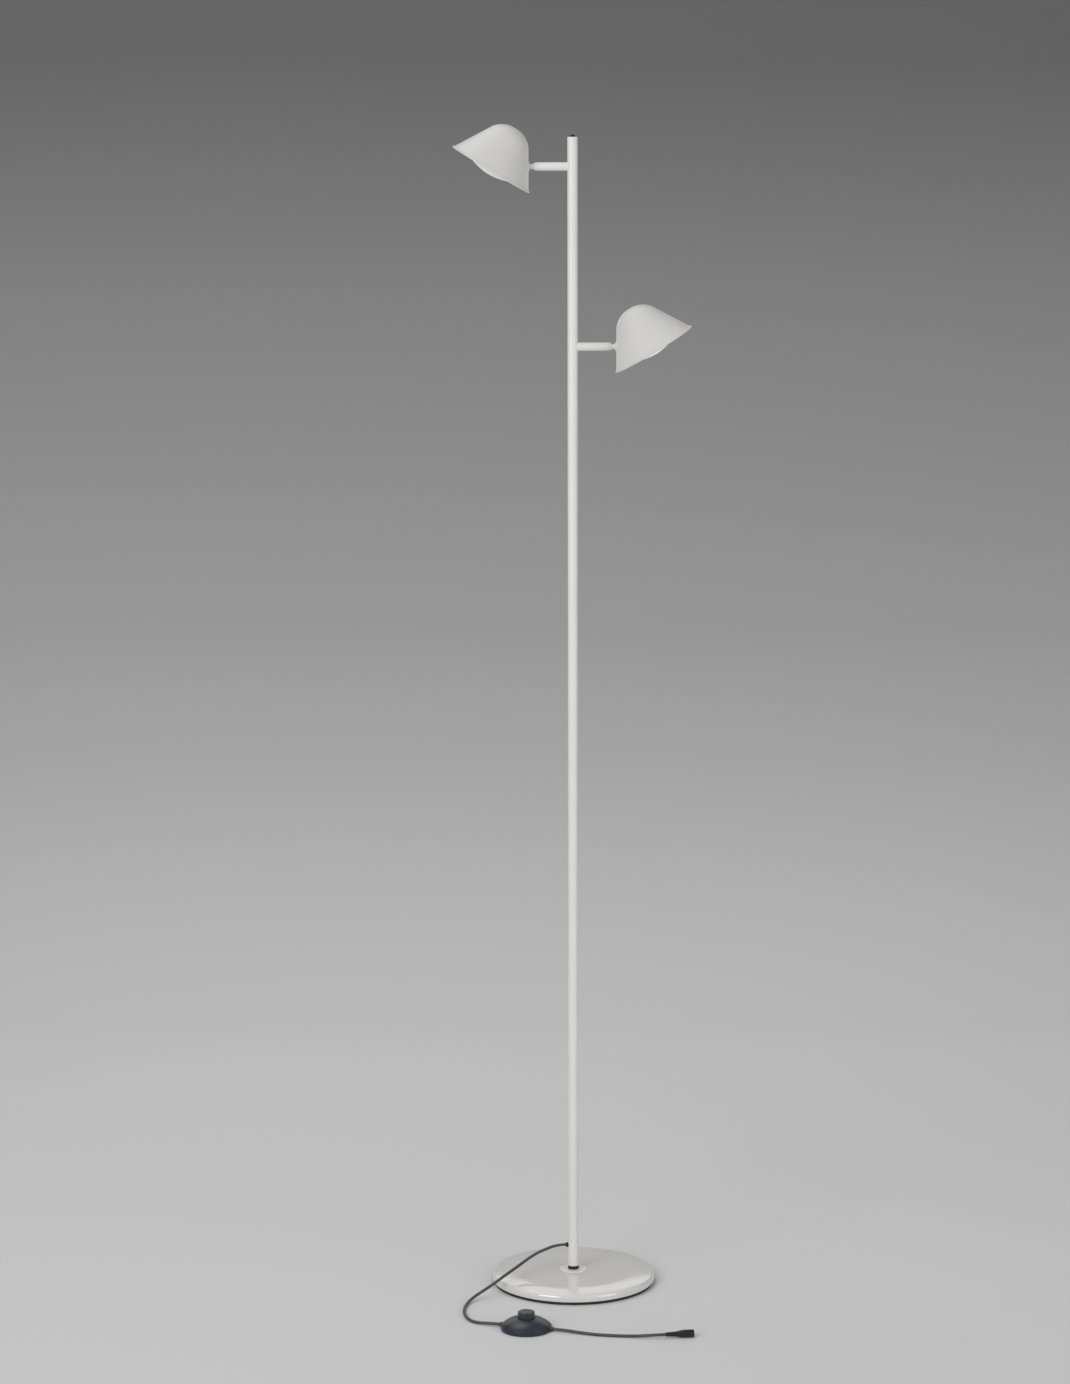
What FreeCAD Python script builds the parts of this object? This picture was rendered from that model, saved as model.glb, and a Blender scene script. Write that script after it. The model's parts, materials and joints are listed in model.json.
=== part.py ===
"""Floor lamp with two reading heads on one slim pole, a round base and a foot switch.

Millimetres, +Z up, origin on the floor on the pole's axis, -Y towards the viewer.
The upper head reaches out towards -X and the lower head towards +X.
"""
import FreeCAD, Part
import math
import os
import Sketcher
from FreeCAD import Vector

doc = FreeCAD.newDocument("ReadingFloorLamp")
sheet = doc.addObject("Spreadsheet::Sheet", "Sizes")


# ---------------------------------------------------------------- sizes

class Size:
    """A length or an angle: its formula in terms of the sheet's cells, and its value."""

    def __init__(self, formula, value):
        self.formula = formula
        self.value = value

    def __add__(self, other):
        return combined(self, "+", other)

    def __radd__(self, other):
        return combined(other, "+", self)

    def __sub__(self, other):
        return combined(self, "-", other)

    def __rsub__(self, other):
        return combined(other, "-", self)

    def __mul__(self, other):
        return combined(self, "*", other)

    def __rmul__(self, other):
        return combined(other, "*", self)

    def __truediv__(self, other):
        return combined(self, "/", other)

    def __rtruediv__(self, other):
        return combined(other, "/", self)

    def __neg__(self):
        return 0.0 - self


def as_size(number):
    """A plain number as a Size; a Size stays as it is."""
    return number if isinstance(number, Size) else Size(repr(float(number)), float(number))


def combined(left, sign, right):
    """Two sizes joined by one of the four signs."""
    left, right = as_size(left), as_size(right)
    values = {
        "+": lambda a, b: a + b,
        "-": lambda a, b: a - b,
        "*": lambda a, b: a * b,
        "/": lambda a, b: a / b,
    }
    return Size("(%s %s %s)" % (left.formula, sign, right.formula), values[sign](left.value, right.value))


def sine(angle):
    return Size("sin(%s)" % angle.formula, math.sin(math.radians(angle.value)))


def cosine(angle):
    return Size("cos(%s)" % angle.formula, math.cos(math.radians(angle.value)))


def root(size):
    return Size("sqrt(%s)" % size.formula, math.sqrt(size.value))


def driving(name, value):
    """Write one driving dimension to the sheet and return it."""
    row = driving.rows = driving.rows + 1
    sheet.set("A%d" % row, name.replace("_", " "))
    sheet.set("B%d" % row, str(value))
    sheet.setAlias("B%d" % row, name)
    return Size("Sizes." + name, float(value))


driving.rows = 0

# Base
overall_height = 1400
base_radius = 100
base_lift = 4
cover_drop = 10.8
cover_wall = 1.2
cover_edge_round = 5
shoulder_start = 72
shoulder_lean = 7.5
foot_ring_height = 4.6
foot_ring_inset = 2
foot_ring_width = 14
base_plate_thickness = 1.5
base_plate_gap = 0.5
weight_gap = 2
weight_bevel = 6
nut_pocket_radius = 13
nut_pocket_depth = 4.7
plate_screw_circle = 60
plate_screw_radius = 2
plate_screw_head = 4
plate_screw_head_height = 2.2
plate_screw_length = 6.5

# Pole and its fixing
rod_radius = 4
rod_bore = 2.4
rod_hole_gap = 0.3
rod_washer_radius = 11
rod_washer_thickness = 1.2
rod_nut_across_corners = 15
rod_nut_thickness = 3.4
collar_radius = 17
collar_thickness = 0.8
collar_round = 0.4
gasket_radius = 6.6
gasket_thickness = 4.4
pole_radius = 6
pole_wall = 1
sleeve_foot_wall = 1
sleeve_top_wall = 0.35
sleeve_length = 30
insert_length = 18
cap_thickness = 1.2
cap_plug_length = 7
cap_screw_radius = 1.5
cap_screw_head_radius = 2.7
cap_screw_head_height = 2.6
cap_screw_length = 10

# Arms and swivels
upper_arm_drop = 34.7
arm_spacing = 212.5
arm_radius = 5
arm_wall = 1
arm_reach = 43.5
pin_spigot_length = 12
pin_taper_length = 4.2
neck_radius = 3
journal_radius = 2.5
journal_clearance = 0.05
lead_clearance = 0.1
swivel_reach = 52
boss_radius = 6.5
boss_proud = 1
boss_length = 4
boss_stem_radius = 4.6
friction_washer_radius = 5
friction_washer_thickness = 0.6
spring_washer_radius = 4.6
spring_washer_thickness = 0.5
spring_washer_rise = 0.7
lock_nut_across_corners = 9.2
lock_nut_thickness = 4
pin_end_length = 1.2

# Heads
shade_half_angle = 31.2
swivel_drop = 70
rim_radius = 51.8
crown_drop = 29.5
crown_radius = 26
shade_wall = 1.2
bead_radius = 1.25
bead_inset = 0.3
sink_thickness = 4
sink_radius = 38
sink_depth = 11.5
sink_hub_radius = 9
sink_hub_height = 4
fin_length = 8
fin_thickness = 1.2
fin_height = 5
post_radius = 5
post_flange_radius = 9
post_flange_length = 6
post_spigot_radius = 3
post_spigot_length = 6
board_radius = 24
board_thickness = 1.6
chip_radius = 1.6
chip_height = 0.7
chip_circle = 14
board_screw_circle = 20
baffle_screw_circle = 35
head_screw_radius = 1.5
head_screw_head = 2.6
head_screw_head_height = 1.5
head_screw_length = 4.5
baffle_thickness = 1
baffle_gap = 0.3
lens_radius = 28
lens_flange_width = 2
lens_wall = 2
lens_dome_radius = 70
lens_proud = 6.5
lens_ring_width = 3.5
lens_ring_height = 4
lens_ring_gap = 0.1
head_lead_circle = 22

# Leads, cord, foot switch and inlet connector
lead_radius = 1.2
lead_bend = 3
cord_radius = 1.8
grommet_height = 45.8
grommet_reach = 9.5
grommet_flange_radius = 3
grommet_stem_radius = 2.4
inlet_bend = 4
inlet_rise = 16.5
splice_radius = 4
splice_length = 16
switch_across = -56
switch_ahead = -188
switch_turn = -16
switch_radius = 30.5
switch_base_height = 3.5
switch_cover_inset = 0.4
switch_side_height = 1.6
switch_dome_top = 14.6
switch_dome_round = 38
switch_cover_wall = 1.8
switch_collar_width = 1.6
switch_post_radius = 9
switch_post_height = 4.5
button_radius = 10.2
button_gap = 0.3
button_top = 22
button_round = 1.4
button_flange_width = 1.8
button_flange_height = 1.4
button_travel = 3
button_bore = 6.4
button_roof = 4.4
spring_radius = 4.8
spring_wire = 0.45
gland_radius = 2.8
gland_reach = 33.5
gland_length = 8
gland_height = 3.1
switch_screw_circle = 20
switch_boss_radius = 3.2
switch_boss_height = 6
switch_screw_radius = 1.4
switch_screw_head = 2.6
switch_screw_head_height = 1.4
switch_screw_length = 7
contact_offset = 14
contact_width = 5
contact_length = 7
contact_thickness = 0.8
connector_across = 108.6
connector_ahead = -221.3
connector_turn = 8.5
connector_radius = 4.6
connector_lift = 0.1
relief_start_radius = 2.5
relief_end_radius = 3.2
relief_length = 13
connector_taper = 7
connector_length = 33.8
socket_bore = 2.8
socket_depth = 9
socket_pin_radius = 1
socket_pin_recess = 1.5

# Every number named above drives the model from its own cell of the sheet
for name, value in list(globals().items()):
    if isinstance(value, (int, float)):
        globals()[name] = driving(name, value)
doc.recompute()

# Levels and radii that follow from the driving dimensions
base_top = base_lift + cover_drop
edge_centre = base_radius - cover_edge_round
edge_start = edge_centre + cover_edge_round * sine(shoulder_lean)
shoulder_bend = (edge_start - shoulder_start) / sine(shoulder_lean)
shoulder_foot = base_top - shoulder_bend * (1 - cosine(shoulder_lean))
side_top = shoulder_foot - cover_edge_round * cosine(shoulder_lean)
plate_top = foot_ring_height + base_plate_thickness
collar_top = base_top + collar_thickness
pole_foot = collar_top + gasket_thickness
pole_bore = pole_radius - pole_wall
sleeve_foot_radius = pole_radius + sleeve_foot_wall
sleeve_top_radius = pole_radius + sleeve_top_wall
sleeve_top = pole_foot + sleeve_length
pole_top = overall_height - cap_thickness
upper_arm_level = overall_height - upper_arm_drop
lower_arm_level = upper_arm_level - arm_spacing
arm_bore = arm_radius - arm_wall
boss_face = swivel_reach - boss_proud
neck_end = boss_face - friction_washer_thickness
boss_back = boss_face + boss_length
spring_washer_face = boss_back + friction_washer_thickness
lock_nut_face = spring_washer_face + spring_washer_rise + spring_washer_thickness
pin_end = lock_nut_face + lock_nut_thickness + pin_end_length
cone_slope = sine(shade_half_angle) / cosine(shade_half_angle)
crown_flat = crown_drop * cone_slope - crown_radius * (
    1 - sine(shade_half_angle)) / cosine(shade_half_angle)
rim_depth = rim_radius / cone_slope
sink_face = rim_depth - sink_depth + sink_thickness
sink_back = rim_depth - sink_depth
splice_foot = grommet_height + inlet_rise
splice_top = splice_foot + splice_length
switch_post_top = switch_base_height + switch_post_height
button_hole = button_radius + button_gap


# ---------------------------------------------------------------- building helpers

nodes = {}


def point(across=0, ahead=0, up=0):
    """Formula of a point."""
    return "vector(%s; %s; %s)" % tuple(as_size(part).formula for part in (across, ahead, up))


def turn(axis, angle):
    """Formula of a turn about the x, y or z axis."""
    direction = {"x": "vector(1; 0; 0)", "y": "vector(0; 1; 0)", "z": "vector(0; 0; 1)"}[axis]
    return "rotation(%s; %s)" % (direction, as_size(angle).formula)


def place(feature, where, *turns):
    """Bind a feature's placement to a point and to turns, the last one made first."""
    feature.setExpression("Placement", "placement(%s; %s)" % (where, " * ".join(turns or (turn("z", 0),))))
    return feature


def bind(feature, **sizes):
    """Bind properties of a feature to sizes."""
    for name, size in sizes.items():
        feature.setExpression(name, as_size(size).formula)
    return feature


def node(label, feature):
    """Name a finished sub-part."""
    feature.Label = label
    nodes[label] = feature
    return feature


def cylinder(radius, height):
    return bind(doc.addObject("Part::Cylinder", "Round"), Radius=radius, Height=height)


def block(length, width, height):
    return bind(doc.addObject("Part::Box", "Block"), Length=length, Width=width, Height=height)


def hexagon(across_corners, height):
    prism = doc.addObject("Part::Prism", "Hexagon")
    prism.Polygon = 6
    return bind(prism, Circumradius=across_corners / 2, Height=height)


def joined(*features):
    fuse = doc.addObject("Part::MultiFuse", "Joined")
    fuse.Shapes = list(features)
    return fuse


def cut(base, *tools):
    result = doc.addObject("Part::Cut", "Cut")
    result.Base = base
    result.Tool = tools[0] if len(tools) == 1 else joined(*tools)
    return result


def arc_between(start, end, radius, side):
    """Circle arc from start to end in the sketch plane; side is +1 for anticlockwise."""
    chord = end - start
    middle = start + chord * 0.5
    offset = math.sqrt(radius ** 2 - (chord.Length / 2) ** 2)
    across = Vector(-chord.y, chord.x, 0).normalize() * offset * side
    centre = middle + across
    first, last = (start, end) if side > 0 else (end, start)
    angles = [math.atan2((end_point - centre).y, (end_point - centre).x) for end_point in (first, last)]
    return Part.ArcOfCircle(Part.Circle(centre, Vector(0, 0, 1), radius), angles[0], angles[1])


def turned(outline):
    """Body turned about its own z axis.

    The outline is a closed ring of corners (radius, height). A corner with two more entries,
    (radius, height, bend, side), is reached along an arc of that radius.
    """
    body = doc.addObject("PartDesign::Body", "Turned")
    sketch = body.newObject("Sketcher::SketchObject", "Outline")
    plane = [feature for feature in body.Origin.OriginFeatures if feature.Role == "XZ_Plane"][0]
    sketch.AttachmentSupport = [(plane, "")]
    sketch.MapMode = "FlatFace"
    corners = [tuple(as_size(part) for part in corner[:3]) + tuple(corner[3:]) for corner in outline]
    spots = [Vector(corner[0].value, corner[1].value, 0) for corner in corners]
    count = len(corners)
    ends = []
    for index in range(count):
        following = (index + 1) % count
        arrival = corners[following]
        if len(arrival) == 4:
            sketch.addGeometry(arc_between(spots[index], spots[following], arrival[2].value, arrival[3]), False)
            ends.append((1, 2) if arrival[3] > 0 else (2, 1))
            key = sketch.addConstraint(Sketcher.Constraint("Radius", index, arrival[2].value))
            sketch.setExpression("Constraints[%d]" % key, arrival[2].formula)
        else:
            sketch.addGeometry(Part.LineSegment(spots[index], spots[following]), False)
            ends.append((1, 2))
    for index in range(count):
        following = (index + 1) % count
        join = Sketcher.Constraint("Coincident", index, ends[index][1], following, ends[following][0])
        sketch.addConstraint(join)
    for index, corner in enumerate(corners):
        for kind, size in (("DistanceX", corner[0]), ("DistanceY", corner[1])):
            key = sketch.addConstraint(Sketcher.Constraint(kind, -1, 1, index, ends[index][0], size.value))
            sketch.setExpression("Constraints[%d]" % key, size.formula)
    revolution = body.newObject("PartDesign::Revolution", "Spin")
    revolution.Profile = sketch
    revolution.ReferenceAxis = (sketch, ["V_Axis"])
    revolution.Angle = 360
    return body


def ring(outer, inner, bottom, top):
    """Turned ring between two levels."""
    return turned([(inner, bottom), (outer, bottom), (outer, top), (inner, top)])


def disc(radius, bottom, top):
    """Turned disc between two levels."""
    return turned([(0, bottom), (radius, bottom), (radius, top), (0, top)])


def rim_tools(count, circle, radius, bottom, top, first=0.0):
    """Upright rounds spaced evenly on a circle."""
    tools = []
    for index in range(count):
        angle = first + 360.0 * index / count
        tool = cylinder(radius, top - bottom)
        across = circle * math.cos(math.radians(angle))
        ahead = circle * math.sin(math.radians(angle))
        tools.append(place(tool, point(across, ahead, bottom)))
    return tools


# ---------------------------------------------------------------- cords and leads

def route_wire(points, largest_bend):
    """Straight runs joined by tangent arcs, and the radii of those arcs."""
    edges, radii = [], []
    start = points[0]
    for before, corner, after in zip(points, points[1:], points[2:]):
        incoming, outgoing = corner - before, after - corner
        half_turn = incoming.getAngle(outgoing) / 2
        setback = 0.45 * min(incoming.Length, outgoing.Length)
        radius = min(setback / math.tan(half_turn), largest_bend)
        setback = radius * math.tan(half_turn)
        into, away = Vector(incoming).normalize(), Vector(outgoing).normalize()
        first, last = corner - into * setback, corner + away * setback
        inward = Vector(away - into).normalize()
        centre = corner + inward * (radius / math.cos(half_turn))
        edges.append(Part.LineSegment(start, first).toShape())
        edges.append(Part.Arc(first, centre - inward * radius, last).toShape())
        radii.append(radius)
        start = last
    edges.append(Part.LineSegment(start, points[-1]).toShape())
    return Part.Wire(edges), radii


def tube(label, points, radius, largest_bend=1e9):
    """Round tube along a route; its radii and its volume against section times length are printed."""
    wire, radii = route_wire(points, largest_bend)
    direction = points[1] - points[0]
    section = Part.Wire([Part.Circle(points[0], direction, radius).toShape()])
    shape = wire.makePipeShell([section], True, False)
    if shape.ShapeType != "Solid":
        shape = Part.Solid(shape)
    expected = math.pi * radius ** 2 * wire.Length
    print("%s: length %.1f, radii %s, volume ratio %.4f" % (
        label, wire.Length, [round(bend, 1) for bend in radii], shape.Volume / expected))
    feature = doc.addObject("Part::Feature", "Tube")
    feature.Shape = shape
    return node(label, feature)


# ---------------------------------------------------------------- base

def make_base():
    """Weighted disc: steel cover over a cast weight, closed by a plate on a rubber ring."""
    ring_outer = base_radius - foot_ring_inset
    node("rubber_ring", ring(ring_outer, ring_outer - foot_ring_width, 0, foot_ring_height))

    plate_radius = base_radius - cover_wall - base_plate_gap
    plate_holes = rim_tools(3, plate_screw_circle, plate_screw_radius, foot_ring_height - 1, plate_top + 1)
    node("base_plate", cut(disc(plate_radius, foot_ring_height, plate_top), *plate_holes))

    head_bottom = foot_ring_height - plate_screw_head_height
    shank_top = foot_ring_height + plate_screw_length
    screws = []
    for head, shank in zip(
            rim_tools(3, plate_screw_circle, plate_screw_head, head_bottom, foot_ring_height),
            rim_tools(3, plate_screw_circle, plate_screw_radius, head_bottom, shank_top)):
        screws.append(joined(head, shank))
    node("base_plate_screws", joined(*screws))

    weight_radius = plate_radius - weight_gap
    weight_top = base_top - cover_wall
    bore = rod_radius + rod_hole_gap
    pocket_top = plate_top + nut_pocket_depth
    blank = turned([
        (nut_pocket_radius, plate_top), (weight_radius, plate_top), (weight_radius, side_top),
        (weight_radius - weight_bevel, shoulder_foot - cover_wall * 1.5), (shoulder_start, weight_top),
        (bore, weight_top), (bore, pocket_top), (nut_pocket_radius, pocket_top)])
    weight_holes = rim_tools(3, plate_screw_circle, plate_screw_radius, plate_top - 1, shank_top)
    node("base_weight", cut(blank, *weight_holes))

    inner_round = cover_edge_round - cover_wall
    inner_start = (
        edge_centre + inner_round * sine(shoulder_lean), side_top + inner_round * cosine(shoulder_lean))
    inner = base_radius - cover_wall
    node("base_cover", turned([
        (bore, base_top), (bore, weight_top), (shoulder_start, weight_top),
        inner_start + (shoulder_bend - cover_wall, -1), (inner, side_top, inner_round, -1),
        (inner, base_lift), (base_radius, base_lift), (base_radius, side_top),
        (edge_start, shoulder_foot, cover_edge_round, 1), (shoulder_start, base_top, shoulder_bend, 1)]))

    washer_bottom = pocket_top - rod_washer_thickness
    nut_bottom = washer_bottom - rod_nut_thickness
    node("rod_washer", ring(rod_washer_radius, rod_radius, washer_bottom, pocket_top))
    nut = place(hexagon(rod_nut_across_corners, rod_nut_thickness), point(up=nut_bottom))
    bore_tool = place(cylinder(rod_radius, rod_nut_thickness), point(up=nut_bottom))
    node("rod_nut", cut(nut, bore_tool))
    node("threaded_rod", ring(rod_radius, rod_bore, nut_bottom, pole_foot + insert_length))


# ---------------------------------------------------------------- pole

def make_pole():
    """Pole tube with its foot fittings and its top cap."""
    node("foot_collar", turned([
        (rod_radius, base_top), (collar_radius, base_top), (collar_radius, collar_top - collar_round),
        (collar_radius - collar_round, collar_top, collar_round, 1), (rod_radius, collar_top)]))
    node("foot_gasket", ring(gasket_radius, rod_radius, collar_top, pole_foot))
    node("pole_insert", ring(pole_bore, rod_radius, pole_foot, pole_foot + insert_length))

    grommet_hole = place(cylinder(grommet_stem_radius, grommet_reach), point(up=grommet_height), turn("y", -90))
    sleeve = turned([
        (pole_radius, pole_foot), (sleeve_foot_radius, pole_foot), (sleeve_top_radius, sleeve_top),
        (pole_radius, sleeve_top)])
    node("foot_sleeve", cut(sleeve, grommet_hole))

    lead_hole = lead_radius + arm_wall
    side_holes = [place(cylinder(grommet_stem_radius, pole_radius), point(up=grommet_height), turn("y", -90))]
    for level, angle in ((upper_arm_level, -90), (lower_arm_level, 90)):
        side_holes.append(place(cylinder(lead_hole, pole_radius), point(up=level), turn("y", angle)))
    node("pole_tube", cut(ring(pole_radius, pole_bore, pole_foot, pole_top), *side_holes))

    plug_bottom = pole_top - cap_plug_length
    node("pole_cap", turned([
        (cap_screw_radius, plug_bottom), (pole_bore, plug_bottom), (pole_bore, pole_top),
        (pole_radius, pole_top), (pole_radius, overall_height), (cap_screw_radius, overall_height)]))
    head_top = overall_height + cap_screw_head_height
    node("cap_screw", turned([
        (0, overall_height - cap_screw_length), (cap_screw_radius, overall_height - cap_screw_length),
        (cap_screw_radius, overall_height), (cap_screw_head_radius, overall_height),
        (cap_screw_head_radius, head_top), (0, head_top)]))


def make_grommet():
    """Rubber bush in the pole's side where the cord comes out."""
    flange = place(cylinder(grommet_flange_radius, grommet_reach), point(up=grommet_height), turn("y", -90))
    sleeve = turned([
        (0, pole_foot), (sleeve_foot_radius, pole_foot), (sleeve_top_radius, sleeve_top), (0, sleeve_top)])
    stem = place(cylinder(grommet_stem_radius, grommet_reach), point(up=grommet_height), turn("y", -90))
    inside = place(cylinder(pole_bore, grommet_reach * 2), point(up=grommet_height - grommet_reach))
    bore = place(cylinder(cord_radius, grommet_reach), point(up=grommet_height), turn("y", -90))
    node("cord_grommet", cut(joined(cut(flange, sleeve), cut(stem, inside)), bore))


# ---------------------------------------------------------------- arms and swivels

def make_arm(name, level, heading):
    """Fixed arm with the hollow pin, washers and nut that its head turns on.

    The pieces are drawn along their own z axis, which points away from the pole.
    """
    def along_arm(feature):
        return place(feature, point(up=level), turn("z", heading), turn("y", -90))

    pole = place(cylinder(pole_radius, arm_radius * 4), point(-arm_radius * 2), turn("y", 90))
    along_arm(node(name + "_arm", cut(ring(arm_radius, arm_bore, 0, arm_reach), pole)))

    pin_bore = lead_radius + lead_clearance
    along_arm(node(name + "_neck_pin", turned([
        (pin_bore, arm_reach - pin_spigot_length), (arm_bore, arm_reach - pin_spigot_length),
        (arm_bore, arm_reach), (arm_radius, arm_reach), (neck_radius, arm_reach + pin_taper_length),
        (neck_radius, neck_end), (journal_radius, neck_end), (journal_radius, pin_end), (pin_bore, pin_end)])))

    outer = ring(friction_washer_radius, journal_radius, neck_end, boss_face)
    inner = ring(friction_washer_radius, journal_radius, boss_back, spring_washer_face)
    along_arm(node(name + "_friction_washers", joined(outer, inner)))

    along_arm(node(name + "_spring_washer", turned([
        (journal_radius, spring_washer_face + spring_washer_rise), (spring_washer_radius, spring_washer_face),
        (spring_washer_radius, spring_washer_face + spring_washer_thickness),
        (journal_radius, lock_nut_face)])))

    nut = place(hexagon(lock_nut_across_corners, lock_nut_thickness), point(up=lock_nut_face))
    bore = place(cylinder(journal_radius, lock_nut_thickness), point(up=lock_nut_face))
    along_arm(node(name + "_lock_nut", cut(nut, bore)))


def side_point(side, across, ahead, up):
    """Point in the lamp's frame, mirrored to the side of the head."""
    return Vector(-side * across, ahead, up)


def make_leads():
    """Inlet lead, its splice, and a lead up the pole and out through each arm."""
    inside = 0.5
    foot, top = splice_foot.value, splice_top.value
    inlet = [Vector(-grommet_reach.value, 0, grommet_height.value),
             Vector(inside, 0, grommet_height.value), Vector(inside, 0, foot)]
    tube("inlet_lead", inlet, cord_radius.value, inlet_bend.value)
    node("lead_splice", disc(splice_radius, splice_foot, splice_top))

    beside = splice_radius.value - lead_radius.value - 0.1
    tube("upper_lead", [
        Vector(0, beside, top), Vector(0, beside, upper_arm_level.value - 24),
        Vector(1.6, 0, upper_arm_level.value - 12), Vector(1.6, 0, upper_arm_level.value),
        side_point(1, pin_end.value, 0, upper_arm_level.value)], lead_radius.value, lead_bend.value)
    tube("lower_lead", [
        Vector(-1.6, 0, top), Vector(-1.6, 0, lower_arm_level.value),
        side_point(-1, pin_end.value, 0, lower_arm_level.value)], lead_radius.value, lead_bend.value)


# ---------------------------------------------------------------- heads

def make_head(name, level, side):
    """Conical shade with its swivel boss, heat sink, light board, baffle and lens.

    The pieces are drawn with the apex of the shade's cone at the origin, its axis along z and its
    mouth towards -z; depth is the distance below the apex. The cone leans by its own half angle,
    so its wall beside the pole stands upright and meets the arm squarely.
    """
    apex = point(-side * swivel_reach, 0, level + swivel_drop)
    heading = turn("z", 0 if side > 0 else 180)

    def on_head(label, feature):
        return place(node(name + label, feature), apex, heading, turn("y", shade_half_angle))

    lean_sine, lean_cosine = sine(shade_half_angle), cosine(shade_half_angle)
    crown_inside = crown_drop + shade_wall
    bend_centre = crown_drop + crown_radius
    inner_bend = crown_radius - shade_wall
    inner_rim = rim_radius - shade_wall / lean_cosine
    outer_end = (crown_flat + crown_radius * lean_cosine, crown_radius * lean_sine - bend_centre)
    inner_end = (crown_flat + inner_bend * lean_cosine, inner_bend * lean_sine - bend_centre)
    shell = turned([
        (0, -crown_drop), (crown_flat, -crown_drop), outer_end + (crown_radius, -1),
        (rim_radius, -rim_depth), (inner_rim, -rim_depth), inner_end,
        (crown_flat, -crown_inside, inner_bend, 1), (0, -crown_inside)])
    bead = bind(doc.addObject("Part::Torus", "Bead"), Radius1=rim_radius - bead_inset, Radius2=bead_radius)
    place(bead, point(up=-rim_depth))

    def on_swivel(feature):
        where = point(swivel_drop * lean_sine, 0, -swivel_drop * lean_cosine)
        return place(feature, where, turn("y", -(shade_half_angle + 90)))

    stem_foot, stem_top = -boss_proud, boss_length - boss_proud
    hole = on_swivel(disc(boss_stem_radius, stem_foot - 1, stem_top + 1))
    on_head("_shade", cut(joined(shell, bead), hole))

    flanges = cut(on_swivel(disc(boss_radius, stem_foot, stem_top)), shell)
    stem = on_swivel(disc(boss_stem_radius, stem_foot, stem_top))
    journal = on_swivel(disc(journal_radius + journal_clearance, stem_foot - 1, stem_top + 1))
    on_head("_swivel_boss", cut(joined(flanges, stem), journal))

    hub_back = sink_back - sink_hub_height
    post_blank = turned([
        (0, 2 - crown_inside), (post_flange_radius, 2 - crown_inside),
        (post_flange_radius, -(crown_inside + post_flange_length)),
        (post_radius, -(crown_inside + post_flange_length)), (post_radius, -hub_back),
        (post_spigot_radius, -hub_back), (post_spigot_radius, -(hub_back + post_spigot_length)),
        (0, -(hub_back + post_spigot_length))])
    cavity = turned([
        (0, -crown_inside), (crown_flat, -crown_inside), inner_end + (inner_bend, -1),
        (inner_rim, -rim_depth), (0, -rim_depth)])
    post = doc.addObject("Part::Common", "Common")
    post.Base, post.Tool = post_blank, cavity
    on_head("_module_post", post)

    board_holes = (3, board_screw_circle, head_screw_radius, -(sink_face + board_thickness + 1),
                   -sink_back + 1, 90)
    baffle_holes = (3, baffle_screw_circle, head_screw_radius, -(sink_face + baffle_thickness + 1),
                    -sink_back + 1, 30)
    lead_hole = place(cylinder(lead_radius, sink_thickness + 2), point(head_lead_circle, 0, -sink_face - 1))
    sink = turned([
        (0, -sink_face), (sink_radius, -sink_face), (sink_radius, -sink_back), (sink_hub_radius, -sink_back),
        (sink_hub_radius, -hub_back), (post_spigot_radius, -hub_back),
        (post_spigot_radius, -(hub_back + post_spigot_length)), (0, -(hub_back + post_spigot_length))])
    fins = []
    for index in range(12):
        angle = 30.0 * index
        lengthwise, crosswise = math.cos(math.radians(angle)), math.sin(math.radians(angle))
        start, half = sink_hub_radius - 0.5, fin_thickness / 2
        fin = block(fin_length + 0.5, fin_thickness, fin_height)
        fins.append(place(fin, point(start * lengthwise + half * crosswise,
                                     start * crosswise - half * lengthwise, -sink_back), turn("z", angle)))
    holes = rim_tools(*board_holes) + rim_tools(*baffle_holes) + [lead_hole]
    on_head("_heat_sink", cut(joined(sink, *fins), *holes))

    board_face = sink_face + board_thickness
    chips = rim_tools(12, chip_circle, chip_radius, -(board_face + chip_height), -sink_face - 0.5)
    board = cut(disc(board_radius, -board_face, -sink_face), *rim_tools(*board_holes))
    on_head("_led_board", joined(board, *chips))

    screws = []
    for circle, seat, first in ((board_screw_circle, board_face, 90),
                                (baffle_screw_circle, sink_face + baffle_thickness, 30)):
        heads = rim_tools(3, circle, head_screw_head, -(seat + head_screw_head_height), -seat, first)
        shanks = rim_tools(3, circle, head_screw_radius, -(seat + head_screw_head_height),
                           head_screw_length - seat, first)
        screws += [joined(head, shank) for head, shank in zip(heads, shanks)]
    on_head("_head_screws", joined(*screws))

    flange_radius = lens_radius + lens_flange_width
    baffle_outer = sink_face * cone_slope - shade_wall / lean_cosine - baffle_gap
    baffle_face = sink_face + baffle_thickness
    baffle = ring(baffle_outer, flange_radius + baffle_gap, -baffle_face, -sink_face)
    on_head("_baffle_plate", cut(baffle, *rim_tools(*baffle_holes)))

    lens_inner = lens_radius - lens_wall
    inner_dome = lens_dome_radius - lens_wall
    apex_depth = rim_depth + lens_proud
    edge = apex_depth - lens_dome_radius + root(
        lens_dome_radius * lens_dome_radius - lens_radius * lens_radius)
    inner_edge = apex_depth - lens_dome_radius + root(inner_dome * inner_dome - lens_inner * lens_inner)
    on_head("_lens", turned([
        (0, -apex_depth), (lens_radius, -edge, lens_dome_radius, 1), (lens_radius, -baffle_face),
        (flange_radius, -baffle_face), (flange_radius, -sink_face), (lens_inner, -sink_face),
        (lens_inner, -inner_edge), (0, lens_wall - apex_depth, inner_dome, -1)]))

    ring_inner = lens_radius + lens_ring_gap
    ring_outer = lens_radius + lens_ring_width
    on_head("_lens_ring", ring(ring_outer, ring_inner, -(baffle_face + lens_ring_height), -baffle_face))

    make_head_lead(name, level, side)


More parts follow.
